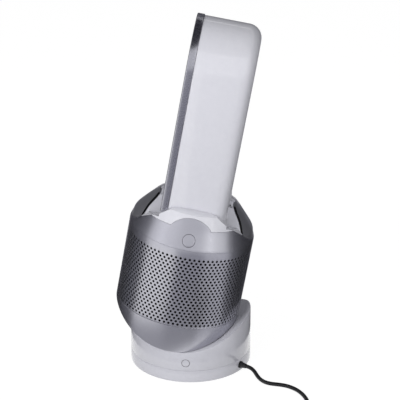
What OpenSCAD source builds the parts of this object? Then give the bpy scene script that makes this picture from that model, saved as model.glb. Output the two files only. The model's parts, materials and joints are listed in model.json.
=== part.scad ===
// Tower air purifier with a heated, bladeless outlet loop.
// The machine looks along -Y, +Z is up and the origin is on the floor, under the middle of the base.
// The machine is shown as it stands: leaning back in its saddle and turned on its base.

/* [Pose] */
// Angle by which the machine leans back, degrees
lean = 10; // [0:1:10]
// Angle by which the machine is turned on its base, degrees
turn = 30; // [-30:1:30]

/* [Base] */
// Diameter of the base
base_d = 212; // [208:1:220]
// Height of the seam between the lower ring and the saddle
seam_z = 23.2; // [22.6:0.2:26]
// Wall of the base mouldings
base_wall = 2.6; // [2.2:0.2:3]
// Thickness of the rubber pad under the base
pad_t = 1.2; // [1:0.1:1.6]
// Thickness of the bottom plate
plate_t = 2.5; // [2.2:0.1:3]
// Visible gap between one moulding and the next
seam_gap = 0.4; // [0.3:0.1:0.8]

/* [Saddle] */
// Height of the lowest line of the trough that the machine leans in
trough_low = 58; // [56:0.5:60]
// Height of the line about which the machine leans
lean_z = 236; // [234:0.5:238]
// Distance of that line in front of the base's middle
lean_front = 8.3; // [6:0.1:10]
// Gap between the bowl and the trough
trough_gap = 1.2; // [0.8:0.1:1.6]
// Radius of the crest behind the trough
crest_r = 14; // [8:1:18]
// Distance from the middle to each lean rail
rail_x = 45; // [42:1:46]
// Width of a lean rail's foot
rail_w = 12; // [10:1:14]

/* [Swing drive] */
// Module of the gear teeth
gear_module = 1.25; // [1.15:0.05:1.3]
// Teeth on the fixed wheel
wheel_teeth = 48; // [46:2:52]
// Teeth on the motor's pinion
pinion_teeth = 12; // [12:1:14]
// Radius of the swing post
post_r = 18; // [16:0.5:19]

/* [Drum] */
// Diameter of the drum
drum_d = 218; // [216:1:222]
// Height of the seam between the bowl and the perforated sleeve
bowl_z = 110; // [108:1:112]
// Height of the seam between the sleeve and the collar
collar_z = 253.5; // [251:0.5:256]
// Depth of the bowl's curve below its widest point
bowl_depth = 94; // [92:1:97]
// Wall of the drum's mouldings
drum_wall = 2.2; // [1.8:0.1:2.6]
// Rows of holes in the sleeve
hole_rows = 9; // [6:1:10]
// Holes in each row
holes_per_row = 36; // [24:4:36]
// Width of a hole
hole_w = 8.6; // [6:0.2:9]

/* [Filter and fan] */
// Gap between the sleeve and the filter
filter_gap = 3.4; // [2:0.2:5]
// Depth of the filter, from its outside to its inside
filter_depth = 28; // [25:1:29]
// Pleats in the filter
pleats = 60; // [40:2:80]
// Gap between the filter and the inlet cage
cage_gap = 6; // [4:0.5:7]
// Gap between the inlet cage and the motor bucket
bucket_gap = 10; // [8:0.5:12]
// Blades on the impeller
blades = 11; // [7:2:13]
// Outer radius of the motor
motor_r = 33; // [30:1:35]

/* [Collar] */
// Height of the collar's level top edge
edge_z = 287.7; // [285:0.1:290]
// Radius of the round lobe above each release button
lobe_r = 41.2; // [39:0.2:43]
// Height of the middle of the release buttons
button_z = 270; // [269:0.5:272]
// Diameter of the release buttons
button_d = 21.4; // [18:0.2:22]
// Travel of the release buttons
button_travel = 3; // [2:0.5:3]

/* [Loop] */
// Height of the top of the loop with the machine upright
loop_top = 630; // [600:1:660]
// Width of the loop's outer shell
loop_w = 150; // [148:1:152]
// Width of one leg of the loop, at its widest
leg_w = 28.5; // [27.5:0.5:30]
// Front face of the loop, in front of the drum's middle
loop_front = 57.4; // [56:0.2:59]
// Rear face of the loop, behind the drum's middle
loop_rear = 55.5; // [54:0.5:57]
// Depth of the front band
band_depth = 12.4; // [11:0.2:13]
// Height by which the band stands proud of the shell
band_proud = 1.5; // [1:0.1:2]
// Radius of the loop's rear corner
rear_r = 24; // [20:0.5:24]
// Wall of the loop's mouldings
loop_wall = 2.4; // [2:0.1:2.6]
// Height of the loop's feet
foot_z = 296; // [294:0.5:298]

/* [Cord] */
// Diameter of the mains cord
cord_d = 6.8; // [6.2:0.1:7]
// Height of the cord outlet
outlet_z = 12.6; // [12.4:0.1:13]
// Length of the strain relief outside the base
relief_len = 12; // [12:0.5:14]
// Turns in each of the coil's two layers
coil_turns = 2.875; // [1.875:1:2.875]
// Radius of the coil's outermost turn
coil_r = 52; // [50:0.5:54]

/* [Hidden] */
$fn = 96;

// Clearances and the overrun of every cut
over = 2;
run_fit = 0.05;
soft_fit = 0.3;
slide_fit = 0.35;

// Base: radii and levels
base_r = base_d / 2;
foot_round = 1.5;
plate_r = base_r - 2 * base_wall;
plate_z = pad_t + plate_t;
pad_share = 0.84;
pad_r = plate_r * pad_share;
groove_count = 3;
groove_w = 2.5;
ledge_z = plate_z + base_wall;
ledge_w = 15;
floor_z = seam_z + seam_gap;
floor_t = 2.6;
bearing_t = 2.4;
bearing_w = 5;
bearing_r = base_r - 6 * base_wall;
screw_n = 6;
screw_r = 1.7;
screw_head_r = 3.1;
screw_head_t = 1.6;
screw_len = 9;
screw_ring_r = plate_r - 2.4 * screw_head_r;
boss_r = 2.2 * screw_r;
saddle_screw_in = 22;
saddle_screw_r = base_r - saddle_screw_in;
saddle_screw_n = 4;

// Swing post, wheel and drive
post_wall = 5;
post_bore_r = post_r - post_wall;
post_flange_w = 6;
post_flange_r = post_r + post_flange_w;
hub_wall = 5;
hub_h = 11;
hub_top = floor_z + hub_h;
retainer_r = post_r + hub_wall;
retainer_t = 2.4;
wheel_t = 6;
wheel_lift = 7;
wheel_z = plate_z + wheel_lift;
gear_gap = (wheel_teeth + pinion_teeth) * gear_module / 2;
drive_shaft_r = 2.5;
drive_shaft_len = 10;
swing_motor_r = 14;
swing_motor_h = 16;
motor_ear_w = 42;
motor_ear_t = 1.6;

// Tooth form
pressure_angle = 25;
backlash_share = 0.035;
root_share = 1.2;
flank_steps = 4;

// Lean geometry
lean_y = -lean_front;
trough_r = lean_z - trough_low;
bowl_r = trough_r - trough_gap;
skin = 3;
stem_w = rail_w / 2;
lean_angle = 10;
spare_angle = 1;
rail_foot_r = trough_r + skin + slide_fit;
rail_foot_t = 2.4;
guide_r = rail_foot_r + rail_foot_t + slide_fit;
guide_t = 2.4;
guide_lip = 3;
guide_w = rail_w + 2 * guide_lip;
guide_reach = sqrt(pow(base_r - base_wall - guide_lip, 2) - pow(rail_x + guide_w / 2, 2)) - lean_front;
slot_half_angle = asin(guide_reach / (guide_r + guide_t)) - spare_angle;
rail_half_angle = slot_half_angle - lean_angle - spare_angle;
crest_tilt = asin((base_r + lean_front - crest_r / 2) / trough_r);
crest_y = lean_y + (trough_r + crest_r) * sin(crest_tilt);
crest_z = lean_z - (trough_r + crest_r) * cos(crest_tilt);
brow_tilt = asin((base_r - lean_front - crest_r / 2) / trough_r);
brow_y = lean_y - (trough_r + crest_r) * sin(brow_tilt);
brow_z = lean_z - (trough_r + crest_r) * cos(brow_tilt);

// Drum: radii and levels
drum_r = drum_d / 2;
bowl_mid_rise = 4.8;
bowl_mid = bowl_z + bowl_mid_rise;
bowl_steps = 24;
sleeve_wall = 1.6;
rim_lap = 6;
deck_drop = 8;
deck_z = bowl_z - deck_drop;
deck_t = 3;
deck_ledge = 6;
seal_t = 3;
cap_t = 4;
media_z0 = deck_z + deck_t + seal_t + cap_t;
media_drop = 12;
media_z1 = collar_z - media_drop;
filter_r = drum_r - sleeve_wall - filter_gap;
filter_inner_r = filter_r - filter_depth;
media_t = 1.6;
pleat_ring = 1.2;
hole_margin_low = 3;
hole_margin_top = 13.8;
hole_z0 = bowl_z + hole_margin_low;
hole_z1 = collar_z - hole_margin_top;
cage_wall = 2.4;
cage_windows = 12;
cage_r = filter_inner_r - cage_gap;
cage_rise = 6;
cage_top = collar_z + cage_rise;
cage_ring_t = 3;
board_lift = 14.8;
board_z = trough_low + trough_gap + board_lift;
board_w = 110;
board_d = 84;
board_t = 1.6;
post_w = 5;

// Fan: radii and levels
bucket_r = cage_r - bucket_gap;
bucket_lift = 36;
bucket_z0 = deck_z + bucket_lift;
mount_h = 4;
bucket_top = cage_top - cage_ring_t - mount_h;
bucket_wall = 2.4;
flange_gap = 0.6;
bucket_flange_r = cage_r - cage_wall - flange_gap;
throat_share = 2 / 3;
throat_r = bucket_r * throat_share;
tip_gap = 0.8;
impeller_lift = 4;
impeller_h = 30;
impeller_z0 = bucket_z0 + impeller_lift;
impeller_z1 = impeller_z0 + impeller_h;
nose_share = 0.25;
hub_nose_r = throat_r * nose_share;
hub_lap = 5;
hub_tail_r = motor_r + hub_lap;
blade_t = 1.6;
blade_sweep_angle = 42;
shaft_r = 4;
vane_lift = 4;
vane_h = 24;
vane_z0 = impeller_z1 + vane_lift;
vane_z1 = vane_z0 + vane_h;
vane_t = 1.8;
vane_count = 13;
vane_angle = 24;
vane_hub_t = 2.4;
motor_lift = 6;
motor_h = 46;
motor_z0 = impeller_z1 + motor_lift;
motor_z1 = motor_z0 + motor_h;

// Outlines of the collar, dome and shoulder. In each row the first number is a share of the drum's
// radius and the second a share of the dome's height.
crown_rise = 20;
dome_h = foot_z + crown_rise - collar_z;
cone_shares = [[1, 0], [0.9450, 0.283], [0.9020, 0.515], [0.8700, 0.730], [0.8450, 0.870],
  [0.8280, 0.925], [0.7900, 0.965], [0.7100, 1]];
dome_shares = [[1, 0], [0.9835, 0.060], [0.9680, 0.150], [0.9500, 0.265], [0.8780, 0.425],
  [0.7880, 0.607], [0.6840, 0.780], [0.6260, 0.888], [0.5410, 0.968], [0.4400, 1]];
shoulder_shares = [[1.08, -0.060], [0.9633, 0.092], [0.8073, 0.332], [0.6340, 0.558],
  [0.5150, 0.720], [0.4100, 0.870], [0.3500, 0.950], [0.2600, 0.990], [0, 1]];
lobe_drop = 22.5;
lobe_z = edge_z - lobe_drop;
roof_round = 20.5;
roof_share = 1.04;
roof_peak = collar_z + roof_share * dome_h;
shield_t = 3;
shield_share = 0.56;
shield_end = drum_r * shield_share;

// Release buttons
button_r = button_d / 2;
button_len = 25;
button_in = drum_r - button_len;
button_lip = 2;
button_flange_r = button_r + button_lip;
button_flange_t = 2.4;
spring_room = 12;
button_well = button_in - spring_room;
spring_r = 6;
spring_wire_r = 0.6;
spring_turns = 5;
power_r = 7;
power_lift = 15;
power_z = collar_z + power_lift;
power_len = 18.5;
power_in = drum_r - power_len;
power_lip = 1.6;
power_flange_r = power_r + power_lip;
power_spring_r = 3.6;
lens_r = 11;
lens_t = 2;
lens_lift = 38;
lens_z = collar_z + lens_lift;
lens_set = 22.6;
lens_y = drum_r - lens_set;
lens_angle = 45;

// Neck and ducts
gasket_t = 2;
neck_z0 = cage_top + gasket_t;
neck_wall = 2.6;
plenum_lip = 2;
plenum_r = bucket_r - plenum_lip;
plenum_drop = 8;
plenum_top = foot_z - plenum_drop;
duct_x0 = 44;
duct_y0 = -36;
duct_y1 = 22;
apron_set = 7;
apron_rear = loop_rear - apron_set;

// Loop sections
loop_half = loop_w / 2;
band_y = -loop_front + band_depth;
band_half = loop_half + band_proud;
band_lift = 5;
band_foot = foot_z + band_lift;
band_w = 17;
band_in = loop_half - band_w;
edge_round = 2;
arch_z = loop_top - band_half;
mouth_rise = 14;
mouth_z = foot_z + mouth_rise + band_in;
lip_x = loop_half - leg_w;
lip_depth = 25;
lip_y = loop_rear - lip_depth;
lip_round = 4;
slot_w = 2;
wall_rear = lip_x + loop_wall + slot_w;
wall_lap = 5.5;
wall_end = lip_y + wall_lap;
wall_steps = 8;
heater_t = 15;
heater_d = 34;
heater_lift = 10;
heater_z0 = mouth_z + heater_lift;
heater_h = 130;
heater_fins = 16;
fin_t = 1.4;

// Cord: strain relief, route and coil
gland_r = 6;
gland_in = 8;
flange_r = 6.4;
flange_t = 1.6;
cord_r = cord_d / 2;
tip_wall = 0.6;
tip_r = cord_r + tip_wall;
coil_gap = 0.8;
coil_pitch = cord_d + coil_gap;
coil_spin = 2 * coil_turns + 0.5;
coil_rings = 24;
tie_t = 0.8;
tie_w = 12;
coil_z = cord_r + tie_t + soft_fit;
coil_at = [252, 164.5];
// The route's points, from the tip of the strain relief to the start of the coil
route = [[59, 102.2, 12.6], [61.5, 106.5, 12.5], [65, 111, 12], [69.5, 115, 11.2], [75, 118.5, 10],
  [81, 121.6, 8.5], [87, 125, 6.9], [92.6, 129.4, 5.4], [97.4, 135, 4.2], [101, 142, 3.6],
  [103.3, 150, 3.4], [104.8, 159, 3.4], [106.6, 168, 3.4], [110, 177, 3.4], [115.4, 185.4, 3.4],
  [122.4, 193, 3.4], [131, 199.6, 3.4], [141, 205.2, 3.4], [152, 209.6, 3.4], [164, 212.8, 3.4],
  [177, 214.8, 3.4], [190, 215.9, 3.6], [203, 216.4, 4], [216, 216.5, 4.3], [229, 216.5, 4.5],
  [238, 216.5, 4.5], [245.2, 216.5, 4.5]];
plug_w = 30;
plug_len = 38;
plug_neck = 10;
pin_r = 2.2;
pin_len = 18;
pin_gap = 12.7;

// Shared shapes

function arc(cx, cy, r, a0, a1, n = 12) =
  [for (i = [0:n]) [cx + r * cos(a0 + (a1 - a0) * i / n), cy + r * sin(a0 + (a1 - a0) * i / n)]];

function flipped(points) = [for (i = [len(points) - 1:-1:0]) [-points[i][0], points[i][1]]];

// An outline in shares, in millimetres, drawn in by an inset
function sized(shares, inset = 0) =
  [for (s = shares) [s[0] * drum_r - inset, collar_z + s[1] * dome_h - inset * s[1]]];

// What a shape drawn in the Y-Z plane becomes when it runs along X
module along_x(length) {
  rotate([90, 0, 90]) translate([0, 0, -length / 2]) linear_extrude(length) children();
}

// What a shape drawn in the X-Z plane becomes when it runs along Y
module along_y(y0, y1) {
  translate([0, y1, 0]) rotate([90, 0, 0]) linear_extrude(y1 - y0) children();
}

// A ring, drawn as a turned rectangle
module ring(r0, r1, z0, z1) {
  rotate_extrude() translate([r0, z0]) square([r1 - r0, z1 - z0]);
}

// The lean: the whole upper unit turns about one line across the machine
module leaning() {
  translate([0, lean_y, lean_z]) rotate([-lean, 0, 0]) translate([0, -lean_y, -lean_z]) children();
}

// The fixed base stands turned against the machine
module on_base() {
  rotate([0, 0, -turn]) children();
}

// A bar that runs round the lean line, from radius r0 to r1
module lean_arc(x, r0, r1, w, half) {
  translate([x, lean_y, lean_z]) rotate([0, 90, 0]) rotate([0, 0, -half])
    rotate_extrude(angle = 2 * half) translate([r0, -w / 2]) square([r1 - r0, w]);
}

// A rod across the machine, about the lean line
module lean_rod(r) {
  translate([0, lean_y, lean_z]) rotate([0, 90, 0]) cylinder(r = r, h = 2 * drum_d, center = true, $fn = 180);
}

module screw(length) {
  cylinder(r = screw_head_r, h = screw_head_t);
  cylinder(r = screw_r, h = length);
}

// Half the angle that a tooth takes up at radius r
function roll(r, base) = r <= base ? 0 : tan(acos(base / r)) * 180 / PI - acos(base / r);
function tooth_half(r, teeth, base) =
  90 / teeth * (1 - backlash_share) + roll(base / cos(pressure_angle), base) - roll(r, base);

module gear_outline(teeth) {
  pitch = teeth * gear_module / 2;
  base = pitch * cos(pressure_angle);
  tip = pitch + gear_module * 0.95;
  root = pitch - root_share * gear_module;
  start = max(base, root);
  flank = [for (i = [0:flank_steps]) start + (tip - start) * i / flank_steps];
  polygon([for (t = [0:teeth - 1]) each concat(
    [root * [cos(t * 360 / teeth - tooth_half(start, teeth, base) - 30 / teeth),
      sin(t * 360 / teeth - tooth_half(start, teeth, base) - 30 / teeth)]],
    [for (r = flank) r * [cos(t * 360 / teeth - tooth_half(r, teeth, base)),
      sin(t * 360 / teeth - tooth_half(r, teeth, base))]],
    [for (i = [flank_steps:-1:0]) flank[i] * [cos(t * 360 / teeth + tooth_half(flank[i], teeth, base)),
      sin(t * 360 / teeth + tooth_half(flank[i], teeth, base))]],
    [root * [cos(t * 360 / teeth + tooth_half(start, teeth, base) + 30 / teeth),
      sin(t * 360 / teeth + tooth_half(start, teeth, base) + 30 / teeth)]])]);
}

// A tube swept along points, with a level or upright frame that never twists
function unit(v) = v / norm(v);
function way(p, i) = unit(p[min(i + 1, len(p) - 1)] - p[max(i - 1, 0)]);
function side_of(d) = unit(cross(d, [0, 0, 1]));
module tube(path, r, sides) {
  last = len(path) - 1;
  corners = [for (i = [0:last]) let (d = way(path, i), s = side_of(d), u = cross(s, d))
    for (k = [0:sides - 1]) path[i] + r * (cos(360 * k / sides) * s + sin(360 * k / sides) * u)];
  walls = [for (i = [0:last - 1]) for (k = [0:sides - 1]) let (n = (k + 1) % sides)
    each [[i * sides + k, i * sides + n, (i + 1) * sides + n],
      [i * sides + k, (i + 1) * sides + n, (i + 1) * sides + k]]];
  first_cap = [for (k = [sides - 1:-1:0]) k];
  last_cap = [for (k = [0:sides - 1]) last * sides + k];
  polyhedron(points = corners, faces = concat([first_cap], walls, [last_cap]), convexity = 10);
}

// A coil spring along +X from x0 to x1, with straight wire ends
module coil_spring(x0, x1, r, turns) {
  steps = turns * 8;
  path = concat([[x0, 0, r]], [for (i = [0:steps]) [x0 + spring_wire_r * 4 + (x1 - x0 - spring_wire_r * 8) * i / steps,
    r * sin(360 * i / 8), r * cos(360 * i / 8)]], [[x1, 0, r]]);
  last = len(path) - 1;
  corners = [for (i = [0:last]) let (s = unit([0, path[i][1], path[i][2]]), d = way(path, i),
    u = unit(cross(d, s)), v = cross(u, d)) for (k = [0:5])
    path[i] + spring_wire_r * (cos(60 * k) * v + sin(60 * k) * u)];
  walls = [for (i = [0:last - 1]) for (k = [0:5]) let (n = (k + 1) % 6)
    each [[i * 6 + k, (i + 1) * 6 + n, i * 6 + n], [i * 6 + k, (i + 1) * 6 + k, (i + 1) * 6 + n]]];
  polyhedron(points = corners, faces = concat([[for (k = [0:5]) k]], walls,
    [[for (k = [5:-1:0]) last * 6 + k]]), convexity = 10);
}

// Base

module foot_pad() {
  color("dimgray")
  difference() {
    cylinder(r = pad_r, h = pad_t);
    for (i = [1:groove_count])
      ring(pad_r * i / (groove_count + 1), pad_r * i / (groove_count + 1) + groove_w, -over, pad_t / 2);
  }
}

module base_screw_places() {
  for (i = [0:screw_n - 1]) rotate([0, 0, (i + 0.5) * 360 / screw_n]) translate([screw_ring_r, 0, 0]) children();
}

module base_plate() {
  color("silver")
  on_base()
  difference() {
    translate([0, 0, pad_t]) cylinder(r = plate_r - soft_fit, h = plate_t);
    base_screw_places() {
      translate([0, 0, -over]) cylinder(r = screw_r + soft_fit, h = plate_z + 2 * over);
      translate([0, 0, -over]) cylinder(r = screw_head_r + soft_fit, h = pad_t + screw_head_t + over);
    }
  }
}

module base_screws() {
  color("gray")
  on_base() base_screw_places() translate([0, 0, pad_t]) screw(plate_t + screw_len);
}

module outlet_place() {
  rotate([0, 0, 90]) translate([base_r, 0, outlet_z]) rotate([0, 90, 0]) children();
}

module base_ring() {
  color("gainsboro")
  on_base()
  difference() {
    union() {
      rotate_extrude() polygon(concat(
        [[plate_r, pad_t]],
        arc(base_r - foot_round, pad_t + foot_round, foot_round, -90, 0, 4),
        [[base_r, seam_z], [base_r - base_wall, seam_z], [base_r - base_wall, ledge_z],
        [bearing_r + bearing_w / 2, ledge_z], [bearing_r + bearing_w / 2, floor_z - bearing_t],
        [bearing_r - bearing_w / 2, floor_z - bearing_t], [bearing_r - bearing_w / 2, ledge_z],
        [base_r - base_wall - ledge_w, ledge_z], [base_r - base_wall - ledge_w, plate_z],
        [plate_r, plate_z]]));
      base_screw_places() translate([0, 0, plate_z]) cylinder(r = boss_r, h = screw_len);
    }
    base_screw_places() translate([0, 0, plate_z - over]) cylinder(r = screw_r + run_fit, h = screw_len + over - screw_r);
    outlet_place() translate([0, 0, -gland_in]) cylinder(r = gland_r + run_fit, h = gland_in + over);
  }
}

module swing_post() {
  color("lightgray")
  difference() {
    union() {
      translate([0, 0, plate_z]) cylinder(r = post_flange_r, h = wheel_z - plate_z);
      translate([0, 0, plate_z]) cylinder(r = post_r, h = hub_top + soft_fit - plate_z);
    }
    translate([0, 0, plate_z - over]) cylinder(r = post_bore_r, h = hub_top);
  }
}

module swing_wheel() {
  color("white")
  translate([0, 0, wheel_z])
  difference() {
    linear_extrude(wheel_t) rotate(-90) gear_outline(wheel_teeth);
    translate([0, 0, -over]) cylinder(r = post_r + run_fit, h = wheel_t + 2 * over);
  }
}

module swing_bearing() {
  color("ivory")
  ring(bearing_r - bearing_w / 2, bearing_r + bearing_w / 2, floor_z - bearing_t, floor_z);
}

module swing_retainer() {
  color("gray")
  ring(post_bore_r, retainer_r, hub_top + soft_fit, hub_top + soft_fit + retainer_t);
}

// Saddle

// The saddle's outline seen from the side: the trough, the rear crest and the front brow
module saddle_outline(drop = 0) {
  polygon(concat(
    [[-base_r - over, floor_z - over], [base_r + over, floor_z - over], [base_r + over, crest_z + crest_r - drop]],
    arc(crest_y, crest_z, crest_r - drop, 90, 90 + crest_tilt, 6),
    arc(lean_y, lean_z, trough_r + drop, 270 + crest_tilt, 270 - brow_tilt, 36),
    arc(brow_y, brow_z, crest_r - drop, 90 - brow_tilt, 90, 6),
    [[-base_r - over, brow_z + crest_r - drop]]));
}

module saddle_screw_places() {
  for (i = [0:saddle_screw_n - 1])
    rotate([0, 0, (i + 0.5) * 360 / saddle_screw_n]) translate([saddle_screw_r, 0, 0]) children();
}

module saddle() {
  color("gainsboro")
  difference() {
    union() {
      difference() {
        intersection() {
          translate([0, 0, floor_z]) cylinder(r = base_r, h = lean_z, $fn = 180);
          along_x(base_d + 2 * over) saddle_outline();
        }
        intersection() {
          translate([0, 0, floor_z - over]) cylinder(r = base_r - base_wall, h = lean_z, $fn = 180);
          along_x(base_d) saddle_outline(skin);
        }
      }
      intersection() {
        saddle_screw_places() translate([0, 0, floor_z + floor_t]) cylinder(r = boss_r, h = lean_z);
        along_x(base_d) saddle_outline(skin / 2);
      }
    }
    saddle_screw_places() translate([0, 0, floor_z]) cylinder(r = screw_r + run_fit, h = floor_t + screw_len);
    for (s = [-1, 1]) lean_arc(s * rail_x, trough_r - over, trough_r + skin + over, stem_w + 2 * slide_fit, slot_half_angle);
  }
}

module saddle_floor() {
  color("silver")
  difference() {
    union() {
      translate([0, 0, floor_z]) cylinder(r = base_r - base_wall - soft_fit, h = floor_t);
      translate([0, 0, floor_z]) cylinder(r = post_r + hub_wall, h = hub_top - floor_z);
    }
    translate([0, 0, floor_z - over]) cylinder(r = post_r + run_fit, h = hub_top);
    translate([0, -gear_gap, floor_z - over]) cylinder(r = drive_shaft_r + soft_fit, h = floor_t + 2 * over);
    saddle_screw_places() {
      translate([0, 0, floor_z - over]) cylinder(r = screw_r + soft_fit, h = floor_t + 2 * over);
      translate([0, 0, floor_z - over]) cylinder(r = screw_head_r + soft_fit, h = screw_head_t + over);
    }
  }
}

module saddle_screws() {
  color("gray")
  saddle_screw_places() translate([0, 0, floor_z]) screw(floor_t + screw_len - screw_r);
}

// A channel under the trough that holds the foot of a lean rail
module lean_guide(s) {
  color("dimgray")
  difference() {
    lean_arc(s * rail_x, trough_r + skin, guide_r + guide_t, guide_w, slot_half_angle);
    lean_arc(s * rail_x, trough_r, guide_r, rail_w + 2 * slide_fit, slot_half_angle + spare_angle);
  }
}

module lean_guide_left() {
  lean_guide(-1);
}

module lean_guide_right() {
  lean_guide(1);
}

module swing_motor() {
  color("silver")
  translate([0, -gear_gap, floor_z + floor_t])
  difference() {
    union() {
      cylinder(r = swing_motor_r, h = swing_motor_h);
      translate([-motor_ear_w / 2, -screw_head_r, 0]) cube([motor_ear_w, 2 * screw_head_r, motor_ear_t]);
    }
    translate([0, 0, -over]) cylinder(r = drive_shaft_r + run_fit, h = drive_shaft_len + over);
  }
}

module swing_pinion() {
  color("gold")
  translate([0, -gear_gap, wheel_z])
  union() {
    linear_extrude(wheel_t) rotate(90 + 180 / pinion_teeth) gear_outline(pinion_teeth);
    cylinder(r = drive_shaft_r, h = floor_z + floor_t + drive_shaft_len - soft_fit - wheel_z);
  }
}

// Lean rails and bowl

// A rail with a narrow stem and a wide foot, hung under the bowl
module lean_rail(s) {
  color("dimgray")
  leaning()
  union() {
    lean_arc(s * rail_x, bowl_r, rail_foot_r + rail_foot_t, stem_w, rail_half_angle);
    lean_arc(s * rail_x, rail_foot_r, rail_foot_r + rail_foot_t, rail_w, rail_half_angle);
  }
}

module lean_rail_left() {
  lean_rail(-1);
}

module lean_rail_right() {
  lean_rail(1);
}

// Radius of the bowl at height z
function bowl_at(z) = drum_r * sqrt(1 - pow((bowl_mid - z) / bowl_depth, 2));

module bowl_body(inset, top) {
  z0 = bowl_mid - bowl_depth * 0.9;
  intersection() {
    rotate_extrude() polygon(concat([[0, z0]],
      [for (i = [0:bowl_steps]) let (z = z0 + (bowl_z - z0) * i / bowl_steps) [bowl_at(z) - inset, z]],
      [[bowl_at(bowl_z) - inset, top], [0, top]]));
    lean_rod(bowl_r - inset);
  }
}

module bowl() {
  color("darkgray")
  leaning()
  difference() {
    union() {
      difference() {
        bowl_body(0, bowl_z);
        bowl_body(drum_wall, bowl_z + over);
      }
      ring(drum_r - sleeve_wall - soft_fit - drum_wall, drum_r - sleeve_wall - soft_fit, bowl_z - rim_lap, bowl_z + rim_lap);
      intersection() {
        union() {
          ring(filter_r - deck_ledge, drum_r, deck_z - deck_t, deck_z);
          for (x = [-1, 1]) for (y = [-1, 1])
            translate([x * (board_w / 2 - post_w), y * (board_d / 2 - post_w), 0])
              cylinder(r = post_w / 2, h = board_z);
        }
        bowl_body(drum_wall / 2, bowl_z);
      }
    }
  }
}

module power_board() {
  color("darkgreen")
  leaning()
  translate([0, 0, board_z])
  union() {
    translate([-board_w / 2, -board_d / 2, 0]) cube([board_w, board_d, board_t]);
    for (i = [-1:1]) translate([i * board_w / 4, board_d / 5, 0]) cylinder(r = board_w / 16, h = board_w / 7);
    translate([-board_w / 3, -board_d / 3, 0]) cube([board_w / 4, board_d / 5, board_w / 9]);
    translate([board_w / 12, -board_d / 3, 0]) cube([board_w / 3, board_d / 4, board_w / 12]);
  }
}

// Inlet and filter

module inlet_cage() {
  color("whitesmoke")
  leaning()
  difference() {
    union() {
      translate([0, 0, deck_z]) cylinder(r = filter_r, h = deck_t);
      ring(cage_r - cage_wall, cage_r, deck_z, cage_top);
      ring(bucket_r + cage_wall, cage_r + deck_t, cage_top - cage_ring_t, cage_top);
    }
    for (i = [0:cage_windows - 1]) rotate([0, 0, (i + 0.5) * 360 / cage_windows])
      translate([cage_r / 2, -cage_r / 6, media_z0 + cap_t]) cube([cage_r, cage_r / 3, media_z1 - media_z0 - 2 * cap_t]);
  }
}

module bell_mouth() {
  color("whitesmoke")
  leaning()
  rotate_extrude() polygon(concat(
    arc(bucket_r, bucket_z0, bucket_r - throat_r, 180, 262, 10),
    [[bucket_r, bucket_z0 - (bucket_r - throat_r)], [bucket_r, bucket_z0 - (bucket_r - throat_r) + bucket_wall]],
    arc(bucket_r, bucket_z0, bucket_r - throat_r - bucket_wall, 262, 186, 10),
    [[throat_r + bucket_wall, bucket_z0 + over], [bucket_r, bucket_z0 + over], [bucket_r, bucket_z0 + bucket_wall + over],
    [throat_r, bucket_z0 + bucket_wall + over]]));
}

// The pleated sheet: one closed zigzag band round the filter
module filter_media() {
  color("lavender")
  leaning()
  translate([0, 0, media_z0])
  linear_extrude(media_z1 - media_z0)
  polygon(points = concat(
      [for (i = [0:2 * pleats - 1]) (i % 2 == 0 ? filter_r - pleat_ring : filter_inner_r + pleat_ring + media_t)
        * [cos(180 * i / pleats), sin(180 * i / pleats)]],
      [for (i = [0:2 * pleats - 1]) (i % 2 == 0 ? filter_r - pleat_ring - 6 * media_t : filter_inner_r + pleat_ring)
        * [cos(180 * i / pleats), sin(180 * i / pleats)]]),
    paths = [[for (i = [0:2 * pleats - 1]) i], [for (i = [0:2 * pleats - 1]) 2 * pleats + i]]);
}

module filter_base_cap() {
  color("silver")
  leaning() ring(filter_inner_r, filter_r, media_z0 - cap_t, media_z0);
}

module filter_top_cap() {
  color("silver")
  leaning() ring(filter_inner_r, filter_r, media_z1, media_z1 + cap_t);
}

module filter_seal() {
  color("black")
  leaning() ring(filter_inner_r + pleat_ring, filter_inner_r + 8 * pleat_ring, deck_z + deck_t, media_z0 - cap_t);
}

// The perforated sleeve. Each row of six-sided holes is set half a hole round from the next. A hole
// has its six corners on the outer face and six on the inner one, and the metal between the holes is
// made of the strips and triangles that join those corners.
hole_n = holes_per_row;
row_pitch = (hole_z1 - hole_z0) / hole_rows;
hole_corner = hole_w * 0.55;
function ring_at(r, a, z) = [r * cos(a), r * sin(a), z];
function hole_angle(i, j) = (i + (j % 2) / 2) * 360 / hole_n;
function hole_level(j) = hole_z0 + (j + 0.5) * row_pitch;
function hole_corner_at(r, i, j, k) = ring_at(r,
  hole_angle(i, j) + hole_corner * cos(90 - 60 * k) / drum_r * 180 / PI, hole_level(j) + hole_corner * sin(90 - 60 * k));
function hole_id(s, i, j, k) = ((s * hole_rows + j) * hole_n + (i + hole_n) % hole_n) * 6 + k;
edge_start = 12 * hole_n * hole_rows;
// Corners of the four rims: s is 0 outside and 1 inside, t is 0 at the bottom and 1 at the top
function rim_id(s, t, m) = edge_start + (2 * s + t) * 2 * hole_n + (m + 2 * hole_n) % (2 * hole_n);
function up_right(i, j) = j % 2 == 0 ? i : i + 1;
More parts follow.
